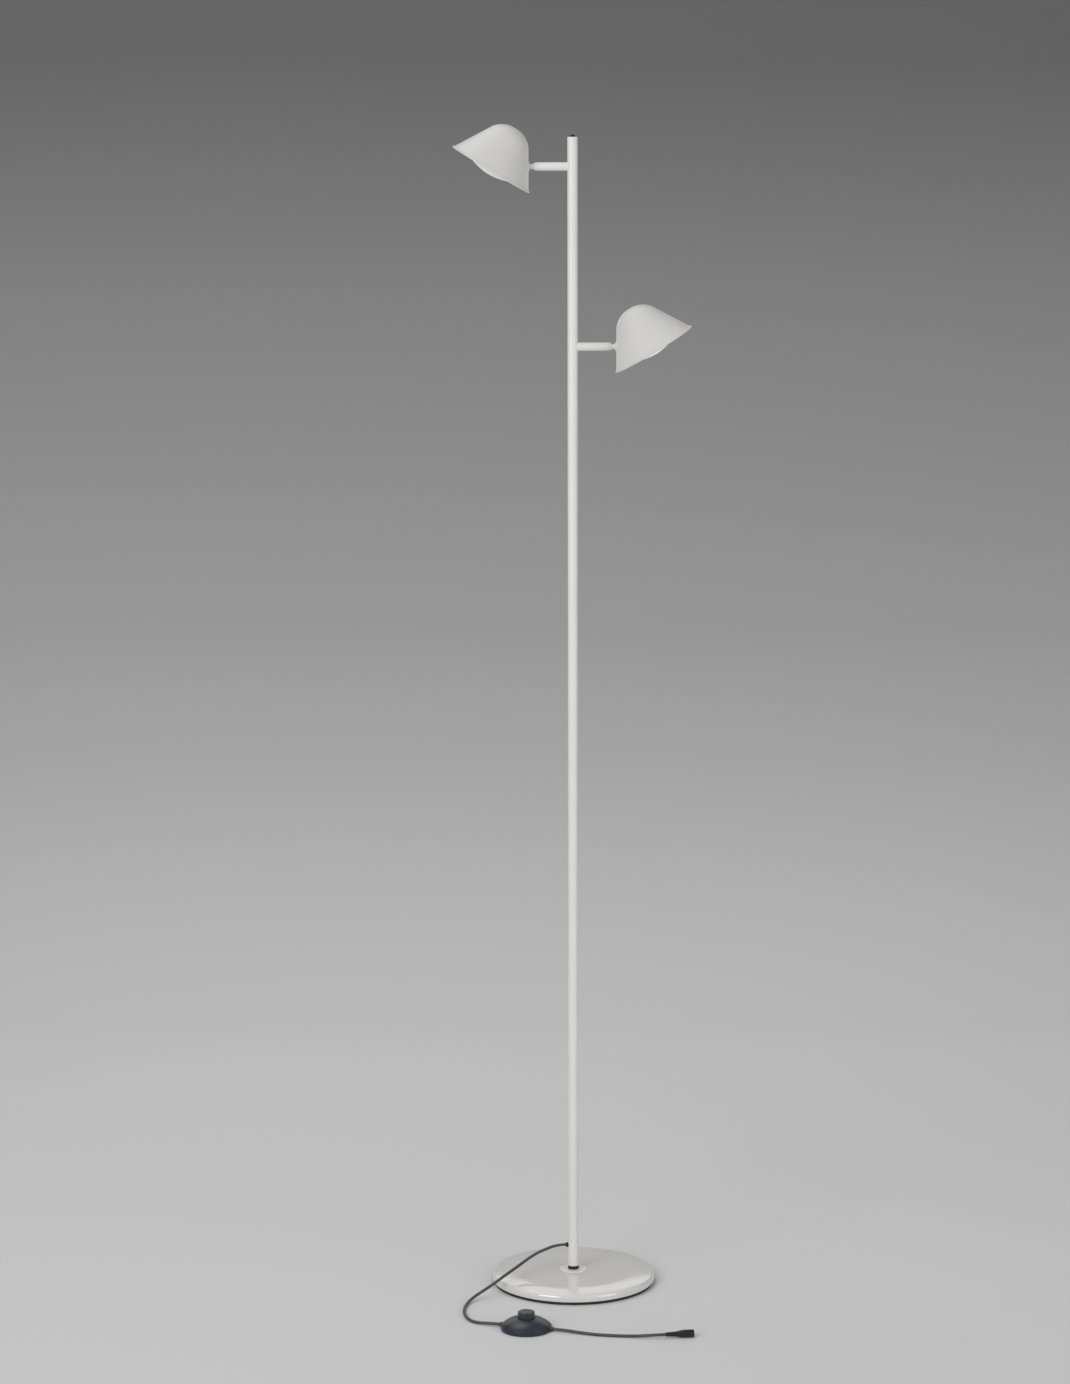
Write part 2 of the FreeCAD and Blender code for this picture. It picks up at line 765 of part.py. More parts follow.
def make_head_lead(name, level, side):
    """Lead from the end of the hollow pin, down through the heat sink to the light board."""
    lean = math.radians(shade_half_angle.value)
    reach = pin_end.value - swivel_reach.value
    start = Vector(swivel_drop.value * math.sin(lean) - reach * math.cos(lean), 0,
                   -swivel_drop.value * math.cos(lean) - reach * math.sin(lean))
    inward = Vector(-math.cos(lean), 0, -math.sin(lean))
    circle, back, face = head_lead_circle.value, sink_back.value, sink_face.value
    local = [start, start + inward * 4.4, Vector(circle, 0, -back + 1.5), Vector(circle, 0, -face)]
    to_lamp = FreeCAD.Placement(
        Vector(-side * swivel_reach.value, 0, level.value + swivel_drop.value),
        FreeCAD.Rotation(Vector(0, 0, 1), 0 if side > 0 else 180)
        * FreeCAD.Rotation(Vector(0, 1, 0), shade_half_angle.value))
    tube(name + "_head_lead", [to_lamp.multVec(spot) for spot in local], lead_radius.value, lead_bend.value)


# ---------------------------------------------------------------- foot switch

def on_switch(label, feature):
    """Name a piece of the foot switch and set it down where the switch lies."""
    return place(node(label, feature), point(switch_across, switch_ahead), turn("z", switch_turn))


def glands(radius, reach, length):
    """Two short rounds lying along the switch's x axis, one on each side."""
    return [place(cylinder(radius, length), point(sign * reach, 0, gland_height), turn("y", -90 * sign))
            for sign in (1, -1)]


def make_foot_switch():
    """Round foot switch: base, domed cover, button on its spring, contacts and screws."""
    screw_holes = rim_tools(3, switch_screw_circle, switch_screw_radius, -1, switch_base_height + 1, 90)
    head_holes = rim_tools(3, switch_screw_circle, switch_screw_head, -1, switch_screw_head_height, 90)
    cover_radius = switch_radius - switch_cover_inset
    foot = joined(disc(switch_radius, 0, switch_base_height),
                  disc(switch_post_radius, switch_base_height - 1, switch_post_top),
                  *glands(gland_radius, gland_reach, gland_length))
    on_switch("switch_base", cut(foot, *screw_holes, *head_holes))

    cover_side_top = switch_base_height + switch_side_height
    inner_side = cover_radius - switch_cover_wall
    collar_outer = button_hole + switch_collar_width
    inner_top = switch_dome_top - switch_cover_wall
    shell = turned([
        (inner_side, switch_base_height), (cover_radius, switch_base_height), (cover_radius, cover_side_top),
        (collar_outer, switch_dome_top, switch_dome_round, 1), (button_hole, switch_dome_top),
        (button_hole, inner_top), (collar_outer - switch_cover_wall / 2, inner_top),
        (inner_side, cover_side_top - switch_cover_wall / 4, switch_dome_round - switch_cover_wall, -1)])
    boss_top = switch_base_height + switch_boss_height
    bosses = rim_tools(3, switch_screw_circle, switch_boss_radius, switch_base_height, boss_top, 90)
    shank_top = switch_screw_head_height + switch_screw_length
    shank_holes = rim_tools(3, switch_screw_circle, switch_screw_radius, switch_base_height - 1, shank_top, 90)
    on_switch("switch_cover", cut(joined(shell, *bosses), *glands(gland_radius, gland_reach, gland_length),
                                  *shank_holes))

    screws = []
    for head, shank in zip(
            rim_tools(3, switch_screw_circle, switch_screw_head, 0.2, switch_screw_head_height, 90),
            rim_tools(3, switch_screw_circle, switch_screw_radius, 0.2, shank_top, 90)):
        screws.append(joined(head, shank))
    on_switch("switch_screws", joined(*screws))

    flange_top = inner_top - button_gap
    flange_bottom = flange_top - button_flange_height
    flange_radius = button_radius + button_flange_width
    pocket_top = button_top - button_roof
    on_switch("switch_button", turned([
        (button_bore, flange_bottom), (flange_radius, flange_bottom), (flange_radius, flange_top),
        (button_radius, flange_top), (button_radius, button_top - button_round),
        (button_radius - button_round, button_top, button_round, 1), (0, button_top),
        (0, pocket_top), (button_bore, pocket_top)]))

    strips = []
    for sign in (1, -1):
        strip = block(contact_thickness, contact_width, contact_length)
        middle = sign * contact_offset - contact_thickness / 2
        strips.append(place(strip, point(middle, -contact_width / 2, switch_base_height)))
    on_switch("switch_contacts", joined(*strips))


def make_button_spring():
    """Coil spring of four turns between the switch's post and the roof of the button's pocket."""
    wire, radius = spring_wire.value, spring_radius.value
    bottom = switch_post_top.value + wire
    top = button_top.value - button_roof.value - wire
    quarters = 16
    rise = (top - bottom) / quarters

    def spot(quarter):
        angle = math.pi / 2 * quarter
        return Vector(radius * math.cos(angle), radius * math.sin(angle), bottom + rise * quarter)

    arcs = [Part.Arc(spot(index), spot(index + 0.5), spot(index + 1)).toShape() for index in range(quarters)]
    path = Part.Wire(arcs)
    section = Part.Wire([Part.Circle(spot(0), Vector(0, 1, rise / radius), wire).toShape()])
    shape = path.makePipeShell([section], True, False)
    least_gap = 4 * rise - 2 * wire
    print("button_spring: least gap between turns %.2f" % least_gap)
    feature = doc.addObject("Part::Feature", "Spring")
    feature.Shape = shape if shape.ShapeType == "Solid" else Part.Solid(shape)
    on_switch("button_spring", feature)


# ---------------------------------------------------------------- cord and connector

def switch_spot(along):
    """Point on the switch's cord axis, at a distance from its centre."""
    angle = math.radians(switch_turn.value)
    return Vector(switch_across.value + along * math.cos(angle),
                  switch_ahead.value + along * math.sin(angle), gland_height.value)


def connector_spot(along):
    """Point on the connector's axis, at a distance from the end that the cord enters."""
    angle = math.radians(connector_turn.value)
    return Vector(connector_across.value + along * math.cos(angle),
                  connector_ahead.value + along * math.sin(angle), connector_radius.value + connector_lift.value)


def make_cords():
    """Cord from the pole over the edge of the base to the switch, and from the switch to its connector."""
    straight = 15
    reach = gland_reach.value
    tube("cord_to_switch", [
        Vector(-grommet_reach.value, 0, grommet_height.value), Vector(-21, 0, 45.2),
        Vector(-34.5, -3, 40.8), Vector(-48, -11, 36.8), Vector(-61.5, -25.5, 31.2), Vector(-74, -43, 27),
        Vector(-86, -57, 22.6), Vector(-98, -67, 16.2), Vector(-109, -71.5, 10.2), Vector(-119.5, -79.5, 5.4),
        Vector(-127.5, -93, 2.6), Vector(-132, -115, 1.9), Vector(-131, -140, 1.95), Vector(-124.5, -161, 1.9),
        Vector(-114, -171.5, 2.3), switch_spot(-reach - straight), switch_spot(-reach)], cord_radius.value)
    tube("cord_to_connector", [
        switch_spot(reach), switch_spot(reach + straight), Vector(8, -207.5, 2.2), Vector(30, -214.5, 1.9),
        Vector(52, -218, 1.95), Vector(75, -220, 2.3), connector_spot(-straight), connector_spot(0)],
        cord_radius.value)


def make_connector():
    """Moulded inline socket with its tapered strain relief and its centre contact."""
    def on_connector(label, feature):
        where = point(connector_across, connector_ahead, connector_radius + connector_lift)
        return place(node(label, feature), where, turn("z", connector_turn), turn("y", 90))

    bore_foot = connector_length - socket_depth
    on_connector("connector_body", turned([
        (0, 0), (relief_start_radius, 0), (relief_end_radius, relief_length),
        (connector_radius, relief_length + connector_taper), (connector_radius, connector_length),
        (socket_bore, connector_length), (socket_bore, bore_foot), (0, bore_foot)]))
    on_connector("connector_contact", disc(socket_pin_radius, bore_foot, connector_length - socket_pin_recess))


# ---------------------------------------------------------------- assembly

def check_and_export():
    """Refuse failed features and bad shapes, then write one file per sub-part."""
    doc.recompute()
    for feature in doc.Objects:
        if "Invalid" in feature.State or "Error" in feature.State:
            raise RuntimeError("%s (%s) failed: %s" % (feature.Name, feature.Label, feature.State))
    for label, feature in nodes.items():
        if feature.Shape.isNull() or not feature.Shape.isValid():
            raise RuntimeError(label + " has no valid shape")
    os.makedirs("parts", exist_ok=True)
    for label, feature in nodes.items():
        feature.Shape.exportStep(os.path.join("parts", label + ".step"))
    print("%d sub-parts written" % len(nodes))


make_base()
make_pole()
make_grommet()
make_arm("upper", upper_arm_level, 0)
make_arm("lower", lower_arm_level, 180)
make_leads()
make_head("upper", upper_arm_level, 1)
make_head("lower", lower_arm_level, -1)
make_foot_switch()
make_button_spring()
make_cords()
make_connector()
check_and_export()
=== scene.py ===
"""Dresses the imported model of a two-head reading floor lamp.

Sizes in the classes are millimetres and degrees. Every finished mesh is in metres, in the frame of the
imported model: origin on the floor on the pole's axis, +Z up, -Y towards the viewer. The upper head
reaches out towards -X and the lower head towards +X.
"""
from __future__ import annotations

import json
import logging
import math
from dataclasses import dataclass, field
from enum import StrEnum, auto
from typing import Callable, Iterable, Sequence

import bmesh
import bpy
from mathutils import Matrix, Vector


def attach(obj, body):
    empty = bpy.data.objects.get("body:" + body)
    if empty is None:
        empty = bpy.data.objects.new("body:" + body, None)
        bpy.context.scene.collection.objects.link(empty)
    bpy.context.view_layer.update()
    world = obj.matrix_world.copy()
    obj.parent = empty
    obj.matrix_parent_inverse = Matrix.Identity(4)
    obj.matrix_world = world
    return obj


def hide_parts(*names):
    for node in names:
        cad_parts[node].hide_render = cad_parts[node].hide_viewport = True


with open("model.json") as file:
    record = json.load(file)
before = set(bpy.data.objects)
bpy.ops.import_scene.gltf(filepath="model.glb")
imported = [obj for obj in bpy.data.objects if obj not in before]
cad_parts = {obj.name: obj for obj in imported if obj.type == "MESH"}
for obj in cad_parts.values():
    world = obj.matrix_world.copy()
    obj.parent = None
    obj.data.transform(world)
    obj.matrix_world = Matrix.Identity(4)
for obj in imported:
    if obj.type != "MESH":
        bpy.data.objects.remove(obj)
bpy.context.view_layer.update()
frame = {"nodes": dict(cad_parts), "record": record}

MM = 0.001
LOG = logging.getLogger("reading_lamp")
Mesh = bmesh.types.BMesh
Piece = bpy.types.Object
Rgb = tuple[float, float, float]
Spot = tuple[float, ...]
ORIGIN = (0.0, 0.0, 0.0)
POLYMER_IOR = 1.5
# Radius in millimetres and steps that ease an edge
FINE = (0.2, 2)
EASE = (0.3, 3)
SOFT = (0.4, 4)
# Shares of a radius that keep two neighbouring roundings just apart
CLOSE = 0.9995
APART = 0.999


class Body(StrEnum):
    """Rigid bodies that the pieces ride on."""

    LAMP = auto()
    UPPER_HEAD = auto()
    LOWER_HEAD = auto()
    FOOT_BUTTON = auto()


class Slot(StrEnum):
    """Material slots of the record."""

    SATIN_WHITE = auto()
    GLOSS_WHITE = auto()
    BLACK_RUBBER = auto()
    ZINC_STEEL = auto()
    CAST_WEIGHT = auto()
    BLACK_STEEL = auto()
    NYLON = auto()
    BARE_ALUMINIUM = auto()
    WHITE_BOARD = auto()
    WHITE_PAINT = auto()
    FROSTED_LENS = auto()
    LEAD_JACKET = auto()
    CORD_JACKET = auto()
    SWITCH_PLASTIC = auto()
    BUTTON_PLASTIC = auto()
    CONNECTOR_PLASTIC = auto()
    BRASS = auto()


# ---- shader maths ----


def joining(operation: str, swapped: bool = False) -> Callable[[Field, Value], Field]:
    """Operator that joins a field and another value by one math node."""
    def join(self: Field, other: Value) -> Field:
        """The two values joined, the other one first when swapped."""
        return self.shader.math(operation, *((other, self) if swapped else (self, other)))
    return join


class Field:
    """A shader socket that is added, multiplied and raised to a power as a number is."""

    def __init__(self, shader: Shader, socket: bpy.types.NodeSocket) -> None:
        """Wrap one output socket of a shader."""
        self.shader = shader
        self.socket = socket

    __add__ = __radd__ = joining("ADD")
    __sub__ = joining("SUBTRACT")
    __rsub__ = joining("SUBTRACT", swapped=True)
    __mul__ = __rmul__ = joining("MULTIPLY")
    __truediv__ = joining("DIVIDE")
    __pow__ = joining("POWER")

    def rise(self, low: float, high: float) -> Field:
        """Smooth step from 0 at low to 1 at high."""
        settings = {"interpolation_type": "SMOOTHSTEP"}
        inputs = {"Value": self, "From Min": low, "From Max": high}
        return self.shader.node("MapRange", settings, inputs)


Value = Field | float | int | tuple


class Shader:
    """A material's node tree with one principled surface."""

    def __init__(self, label: str) -> None:
        """Start an empty material with a principled shader."""
        self.material = bpy.data.materials.new(label)
        self.material.use_nodes = True
        self.tree = self.material.node_tree
        self.tree.nodes.clear()
        self.surface = self.tree.nodes.new("ShaderNodeBsdfPrincipled")
        self.output = self.tree.nodes.new("ShaderNodeOutputMaterial")
        self.tree.links.new(self.surface.outputs[0], self.output.inputs["Surface"])

    def feed(self, socket: bpy.types.NodeSocket, value: Value) -> None:
        """Link a field to a socket or write a value on it."""
        if isinstance(value, Field):
            self.tree.links.new(value.socket, socket)
        elif isinstance(value, tuple) and len(socket.default_value) == 4:
            socket.default_value = (*value[:3], 1.0)
        else:
            socket.default_value = value

    def node(self, kind: str, settings: dict, inputs: dict, output: str | int = 0) -> Field:
        """Add any node.

        Args:
            kind: the node's type, without its ShaderNode.
            settings: its properties, set before its sockets; "stops" holds a ramp's stops.
            inputs: values or fields by socket name or number.
            output: the output wanted.

        Returns:
            That output as a field.
        """
        made = self.tree.nodes.new("ShaderNode" + kind)
        for name, value in settings.items():
            if name == "stops":
                ramp = made.color_ramp
                while len(ramp.elements) < len(value):
                    ramp.elements.new(0.5)
                for element, (position, colour) in zip(ramp.elements, value):
                    element.position = position
                    element.color = (*colour, 1.0)
            else:
                setattr(made, name, value)
        for name, value in inputs.items():
            self.feed(made.inputs[name], value)
        return Field(self, made.outputs[output])

    def math(self, operation: str, *values: Value) -> Field:
        """Math node on the given values."""
        return self.node("Math", {"operation": operation}, dict(enumerate(values)))

    def place(self, centre: Rgb = ORIGIN, turn: Rgb = ORIGIN, scale: Rgb = (1.0, 1.0, 1.0)) -> Field:
        """Object coordinates from a centre in metres, turned by radians and scaled."""
        raw = self.node("TexCoord", {}, {}, "Object")
        moved = self.node("VectorMath", {"operation": "SUBTRACT"}, {0: raw, 1: centre})
        inputs = {"Vector": moved, "Rotation": turn, "Scale": scale}
        return self.node("Mapping", {"vector_type": "POINT"}, inputs)

    def noise(self, where: Field, scale: float, detail: float = 2.0, roughness: float = 0.5) -> Field:
        """Noise from 0 to 1 with so many features a metre."""
        inputs = {"Vector": where, "Scale": scale, "Detail": detail, "Roughness": roughness}
        return self.node("TexNoise", {}, inputs)

    def cells(self, where: Field, scale: float) -> Field:
        """Distance to the nearest of a field of scattered points."""
        return self.node("TexVoronoi", {}, {"Vector": where, "Scale": scale})

    def parts(self, where: Field) -> tuple[Field, Field, Field]:
        """The x, y and z of a vector field."""
        first = self.node("SeparateXYZ", {}, {"Vector": where})
        node = first.socket.node
        return first, Field(self, node.outputs[1]), Field(self, node.outputs[2])

    def blend(self, share: Value, low: Value, high: Value) -> Field:
        """Colour that goes from low to high as share goes from 0 to 1."""
        settings = {"data_type": "RGBA"}
        return self.node("Mix", settings, {0: share, 6: low, 7: high}, 2)

    def relief(self, height: Field, depth: float, strength: float = 1.0) -> Field:
        """Bumped normal from a height field, depth in metres."""
        return self.node("Bump", {}, {"Height": height, "Distance": depth, "Strength": strength})

    def surface_is(self, **inputs: Value) -> None:
        """Set the principled surface, socket names written with underscores."""
        for name, value in inputs.items():
            self.feed(self.surface.inputs[name.replace("_", " ")], value)

    def clear_from_behind(self) -> None:
        """Let the camera see through the back of the surface."""
        behind = self.node("NewGeometry", {}, {}, "Backfacing")
        seen = self.node("LightPath", {}, {}, "Is Camera Ray")
        clear = self.node("BsdfTransparent", {}, {})
        solid = Field(self, self.surface.outputs[0])
        mixed = self.node("MixShader", {}, {0: behind * seen, 1: solid, 2: clear})
        self.tree.links.new(mixed.socket, self.output.inputs["Surface"])


# ---- finishes ----


@dataclass(frozen=True)
class Finish:
    """What every finish has: a label, the record's slot, a colour and a roughness."""

    label: str
    slot: Slot
    colour: Rgb
    roughness: float

    def material(self) -> bpy.types.Material:
        """The finish's material, made once and shared."""
        found = bpy.data.materials.get(self.label)
        if found:
            return found
        shader = Shader(self.label)
        self.paint(shader)
        return shader.material

    def shade(self, factor: float) -> Rgb:
        """The finish's colour made lighter or darker."""
        return tuple(min(channel * factor, 1.0) for channel in self.colour)

    def paint(self, shader: Shader) -> None:
        """Build the nodes; each kind of finish has its own."""
        raise NotImplementedError


@dataclass(frozen=True)
class Lacquer(Finish):
    """Sprayed or powder-coated paint with a faint orange peel."""

    peel: float = 0.00003
    peel_scale: float = 520.0
    drift_scale: float = 11.0
    speck_scale: float = 3100.0
    coat: float = 0.0
    coat_roughness: float = 0.11
    coat_ior: float = 1.6
    dust: float = 0.04

    def paint(self, shader: Shader) -> None:
        """Even paint: slow drift of tone, orange peel in the bump, a little dust in the gloss."""
        where = shader.place()
        drift = shader.noise(where, self.drift_scale, 3.0)
        peel = shader.noise(where, self.peel_scale, 2.0)
        speck = shader.noise(where, self.speck_scale, 1.0).rise(0.66, 0.78)
        tone = shader.blend(drift.rise(0.3, 0.7), self.shade(0.985), self.shade(1.012))
        shader.surface_is(
            Base_Color=shader.blend(speck * 0.25, tone, self.shade(0.93)),
            Roughness=self.roughness + (drift - 0.5) * self.dust + (peel - 0.5) * 0.05,
            Normal=shader.relief(peel + speck * 0.15, self.peel),
            Coat_Weight=self.coat,
            Coat_Roughness=self.coat_roughness,
            Coat_IOR=self.coat_ior,
            IOR=POLYMER_IOR,
        )


@dataclass(frozen=True)
class MouldedPlastic(Finish):
    """Injection-moulded plastic with a fine spark-eroded grain."""

    grain_scale: float = 2300.0
    grain: float = 0.00004
    drift_scale: float = 45.0
    scuff: float = 0.08

    def paint(self, shader: Shader) -> None:
        """Fine grain, slow drift of tone, and a few long light scuffs."""
        where = shader.place()
        grain = shader.cells(where, self.grain_scale)
        drift = shader.noise(where, self.drift_scale, 3.0)
        stretched = shader.place(turn=(0.3, 0.2, 0.7), scale=(40.0, 900.0, 700.0))
        scuffs = shader.noise(stretched, 1.0, 3.0).rise(0.62, 0.74)
        tone = shader.blend(drift.rise(0.3, 0.7), self.shade(0.9), self.shade(1.1))
        shader.surface_is(
            Base_Color=shader.blend(scuffs * self.scuff, tone, self.shade(2.2)),
            Roughness=self.roughness + (drift - 0.5) * 0.10 + (grain - 0.4) * 0.08 - scuffs * 0.05,
            Normal=shader.relief(grain - scuffs * 0.3, self.grain),
            IOR=POLYMER_IOR,
        )


@dataclass(frozen=True)
class SoftRubber(Finish):
    """Black rubber, matt with a bloom of dust."""

    bloom: Rgb = (0.12, 0.12, 0.12)
    bloom_scale: float = 60.0
    pebble_scale: float = 1500.0
    pebble: float = 0.00006

    def paint(self, shader: Shader) -> None:
        """Matt rubber with a faint dusty bloom and a pebbled skin."""
        where = shader.place()
        pebble = shader.noise(where, self.pebble_scale, 3.0)
        bloom = shader.noise(where, self.bloom_scale, 4.0).rise(0.45, 0.85)
        shader.surface_is(
            Base_Color=shader.blend(bloom * 0.3, self.colour, self.bloom),
            Roughness=self.roughness + (pebble - 0.5) * 0.12,
            Normal=shader.relief(pebble, self.pebble),
        )


@dataclass(frozen=True)
class CordSkin(Finish):
    """Smooth extruded jacket of a cord or a lead."""

    wave_scale: float = 260.0
    handled_scale: float = 38.0
    wave: float = 0.00008

    def paint(self, shader: Shader) -> None:
        """Extruded jacket: slight waviness, faint dulling where it is handled."""
        where = shader.place()
        wave = shader.noise(where, self.wave_scale, 2.0)
        handled = shader.noise(where, self.handled_scale, 3.0).rise(0.4, 0.75)
        shader.surface_is(
            Base_Color=shader.blend(handled, self.colour, self.shade(1.35)),
            Roughness=self.roughness + handled * 0.10 + (wave - 0.5) * 0.06,
            Normal=shader.relief(wave, self.wave),
            IOR=POLYMER_IOR,
        )


@dataclass(frozen=True)
class BareMetal(Finish):
    """Plated or machined metal with directional fine lines."""

    lines: Rgb = (1.0, 1.0, 24.0)
    line_scale: float = 220.0
    line: float = 0.00002
    cloud_scale: float = 130.0
    dull: float = 0.12

    def paint(self, shader: Shader) -> None:
        """Metal with fine tool lines and a cloudy plating."""
        where = shader.place(scale=self.lines)
        lines = shader.noise(where, self.line_scale, 3.0)
        cloud = shader.noise(shader.place(), self.cloud_scale, 4.0)
        shader.surface_is(
            Base_Color=shader.blend(cloud.rise(0.35, 0.7), self.shade(0.88), self.colour),
            Metallic=1.0,
            Roughness=self.roughness + (cloud - 0.5) * self.dull + (lines - 0.5) * 0.1,
            Normal=shader.relief(lines, self.line),
        )


@dataclass(frozen=True)
class RoughCast(Finish):
    """Sand-cast iron."""

    sand_scale: float = 700.0
    pit_scale: float = 260.0
    pit: float = 0.0003

    def paint(self, shader: Shader) -> None:
        """Grainy dark iron with pits."""
        where = shader.place()
        sand = shader.noise(where, self.sand_scale, 5.0, 0.65)
        pits = shader.cells(where, self.pit_scale).rise(0.0, 0.25)
        shader.surface_is(
            Base_Color=shader.blend(sand.rise(0.35, 0.7), self.shade(0.7), self.shade(1.3)),
            Metallic=0.6,
            Roughness=self.roughness + (sand - 0.5) * 0.2,
            Normal=shader.relief(sand * 0.7 + pits * 0.3, self.pit),
        )


@dataclass(frozen=True)
class FrostedLens(Finish):
    """Opal diffuser lit from behind by a ring of small lights."""

    centre: Rgb = ORIGIN
    lean: float = 0.0
    glow: float = 0.35
    tint: Rgb = (0.93, 0.97, 1.0)
    chips: int = 12
    chip_circle: float = 14.0
    chip_spread: Spot = (1.0, 9.0)
    edge_fall: Spot = (20.0, 28.0)
    frost_scale: float = 1900.0
    frost: float = 0.00003
    dim: float = 0.74

    def paint(self, shader: Shader) -> None:
        """Opal surface whose glow is strongest over each light of the ring."""
        where = shader.place(self.centre, (0.0, self.lean, 0.0), (1000.0, 1000.0, 1000.0))
        across, ahead, _ = shader.parts(where)
        angle = shader.math("ARCTAN2", ahead, across)
        distance = (across * across + ahead * ahead) ** 0.5
        spokes = shader.math("SINE", angle * float(self.chips)) * 0.5 + 0.5
        away = shader.math("ABSOLUTE", distance - self.chip_circle)
        band = 1.0 - away.rise(*self.chip_spread)
        spots = band * (0.55 + spokes * 0.45)
        frost = shader.noise(shader.place(), self.frost_scale, 2.0)
        edge = distance.rise(*self.edge_fall)
        shader.surface_is(
            Base_Color=shader.blend(edge, self.colour, self.shade(0.9)),
            Roughness=self.roughness + (frost - 0.5) * 0.1,
            Normal=shader.relief(frost, self.frost),
            Emission_Color=shader.blend(spots, tuple(part * self.dim for part in self.tint), self.tint),
            Emission_Strength=self.glow,
            IOR=1.49,
        )


@dataclass(frozen=True)
class BoardMask(Finish):
    """White solder mask of the light board."""

    track_scale: float = 420.0
    track: float = 0.00003

    def paint(self, shader: Shader) -> None:
        """Gloss white mask with faint tracks."""
        where = shader.place()
        tracks = shader.cells(where, self.track_scale).rise(0.2, 0.3)
        shader.surface_is(
            Base_Color=shader.blend(tracks, self.shade(0.93), self.colour),
            Roughness=self.roughness + tracks * 0.05,
            Normal=shader.relief(tracks, self.track),
        )


SATIN_WHITE = Lacquer(
    "satin_white_lacquer", Slot.SATIN_WHITE, (0.745, 0.74, 0.715), 0.42, peel=0.00002, coat=0.15)
# The lampshades' lacquer: the pole's satin white made darker, as painted shade for the weaker light on the
# heads.
LAMPSHADE_WHITE_PAINTED_SHADE = Lacquer(
    "lampshade_white_lacquer_painted_shade", Slot.SATIN_WHITE, (0.635, 0.63, 0.605), 0.5, peel=0.00002, coat=0.08)
GLOSS_WHITE = Lacquer(
    "gloss_white_lacquer", Slot.GLOSS_WHITE, (0.70, 0.685, 0.65), 0.2, peel=0.000008, coat=1.0, dust=0.05)
BLACK_RUBBER = SoftRubber("black_rubber_skin", Slot.BLACK_RUBBER, (0.018, 0.018, 0.019), 0.78)
ZINC_STEEL = BareMetal("zinc_plated_steel", Slot.ZINC_STEEL, (0.62, 0.63, 0.65), 0.38)
CAST_WEIGHT = RoughCast("rough_cast_iron", Slot.CAST_WEIGHT, (0.12, 0.12, 0.125), 0.75)
BLACK_STEEL = BareMetal("black_oxide_steel", Slot.BLACK_STEEL, (0.035, 0.035, 0.038), 0.42)
NYLON = MouldedPlastic("natural_nylon", Slot.NYLON, (0.72, 0.70, 0.64), 0.5, scuff=0.0)
BARE_ALUMINIUM = BareMetal("machined_aluminium", Slot.BARE_ALUMINIUM, (0.72, 0.73, 0.74), 0.33)
WHITE_BOARD = BoardMask("white_solder_mask", Slot.WHITE_BOARD, (0.82, 0.83, 0.82), 0.3)
WHITE_PAINT = Lacquer("matt_white_paint", Slot.WHITE_PAINT, (0.76, 0.76, 0.75), 0.6, peel_scale=900.0)
LEAD_JACKET = CordSkin("lead_jacket_skin", Slot.LEAD_JACKET, (0.03, 0.03, 0.032), 0.45)
CORD_JACKET = CordSkin("cord_jacket_skin", Slot.CORD_JACKET, (0.05, 0.05, 0.054), 0.42)
SWITCH_PLASTIC = MouldedPlastic("switch_plastic_skin", Slot.SWITCH_PLASTIC, (0.019, 0.024, 0.036), 0.26)
BUTTON_PLASTIC = MouldedPlastic("button_plastic_skin", Slot.BUTTON_PLASTIC, (0.019, 0.024, 0.035), 0.30)
CONNECTOR_PLASTIC = MouldedPlastic(
    "connector_plastic_skin", Slot.CONNECTOR_PLASTIC, (0.008, 0.009, 0.011), 0.24)
BRASS = BareMetal("bare_brass", Slot.BRASS, (0.78, 0.58, 0.28), 0.3)
PLAIN_FINISHES = (
    SATIN_WHITE, GLOSS_WHITE, BLACK_RUBBER, ZINC_STEEL, CAST_WEIGHT, BLACK_STEEL, NYLON, BARE_ALUMINIUM,
    WHITE_BOARD, WHITE_PAINT, LEAD_JACKET, CORD_JACKET, SWITCH_PLASTIC, BUTTON_PLASTIC, CONNECTOR_PLASTIC,
    BRASS)


# ---- modelling ----


@dataclass(frozen=True)
class Corner:
    """A corner of a turned outline: distance from the axis, height, and how it is rounded."""

    r: float
    z: float
    bend: float = 0.0
    steps: int = 5


def outline(spots: Sequence[Spot], closed: bool) -> Mesh:
    """Wire of an outline in the xz plane with its corners rounded.

    Args:
        spots: the corners in order, each with the values of a Corner.
        closed: whether the last corner joins the first.

    Returns:
        The wire as a bmesh, in millimetres.
    """
    mesh = bmesh.new()
    corners = [Corner(*spot) for spot in spots]
    verts = [mesh.verts.new((corner.r, 0.0, corner.z)) for corner in corners]
    pairs = list(zip(verts, verts[1:])) + ([(verts[-1], verts[0])] if closed else [])
    for pair in pairs:
        mesh.edges.new(pair)
    for index, corner in enumerate(corners):
        if corner.bend <= 0.0:
            continue
        here = Vector((corner.r, corner.z))
        before, after = corners[index - 1], corners[(index + 1) % len(corners)]
        into = here - Vector((before.r, before.z))
        away = Vector((after.r, after.z)) - here
        setback = corner.bend * math.tan(into.angle(away) / 2.0)
        round_off(mesh, verts[index], setback, corner.steps)
    return mesh


def round_off(mesh: Mesh, vert: bmesh.types.BMVert, setback: float, steps: int) -> None:
    """Round one corner of a wire that starts to bend a setback away from it."""
    bmesh.ops.bevel(
        mesh, geom=[vert], offset=setback, offset_type="OFFSET", segments=steps, profile=0.5,
        affect="VERTICES", clamp_overlap=False, material=-1)


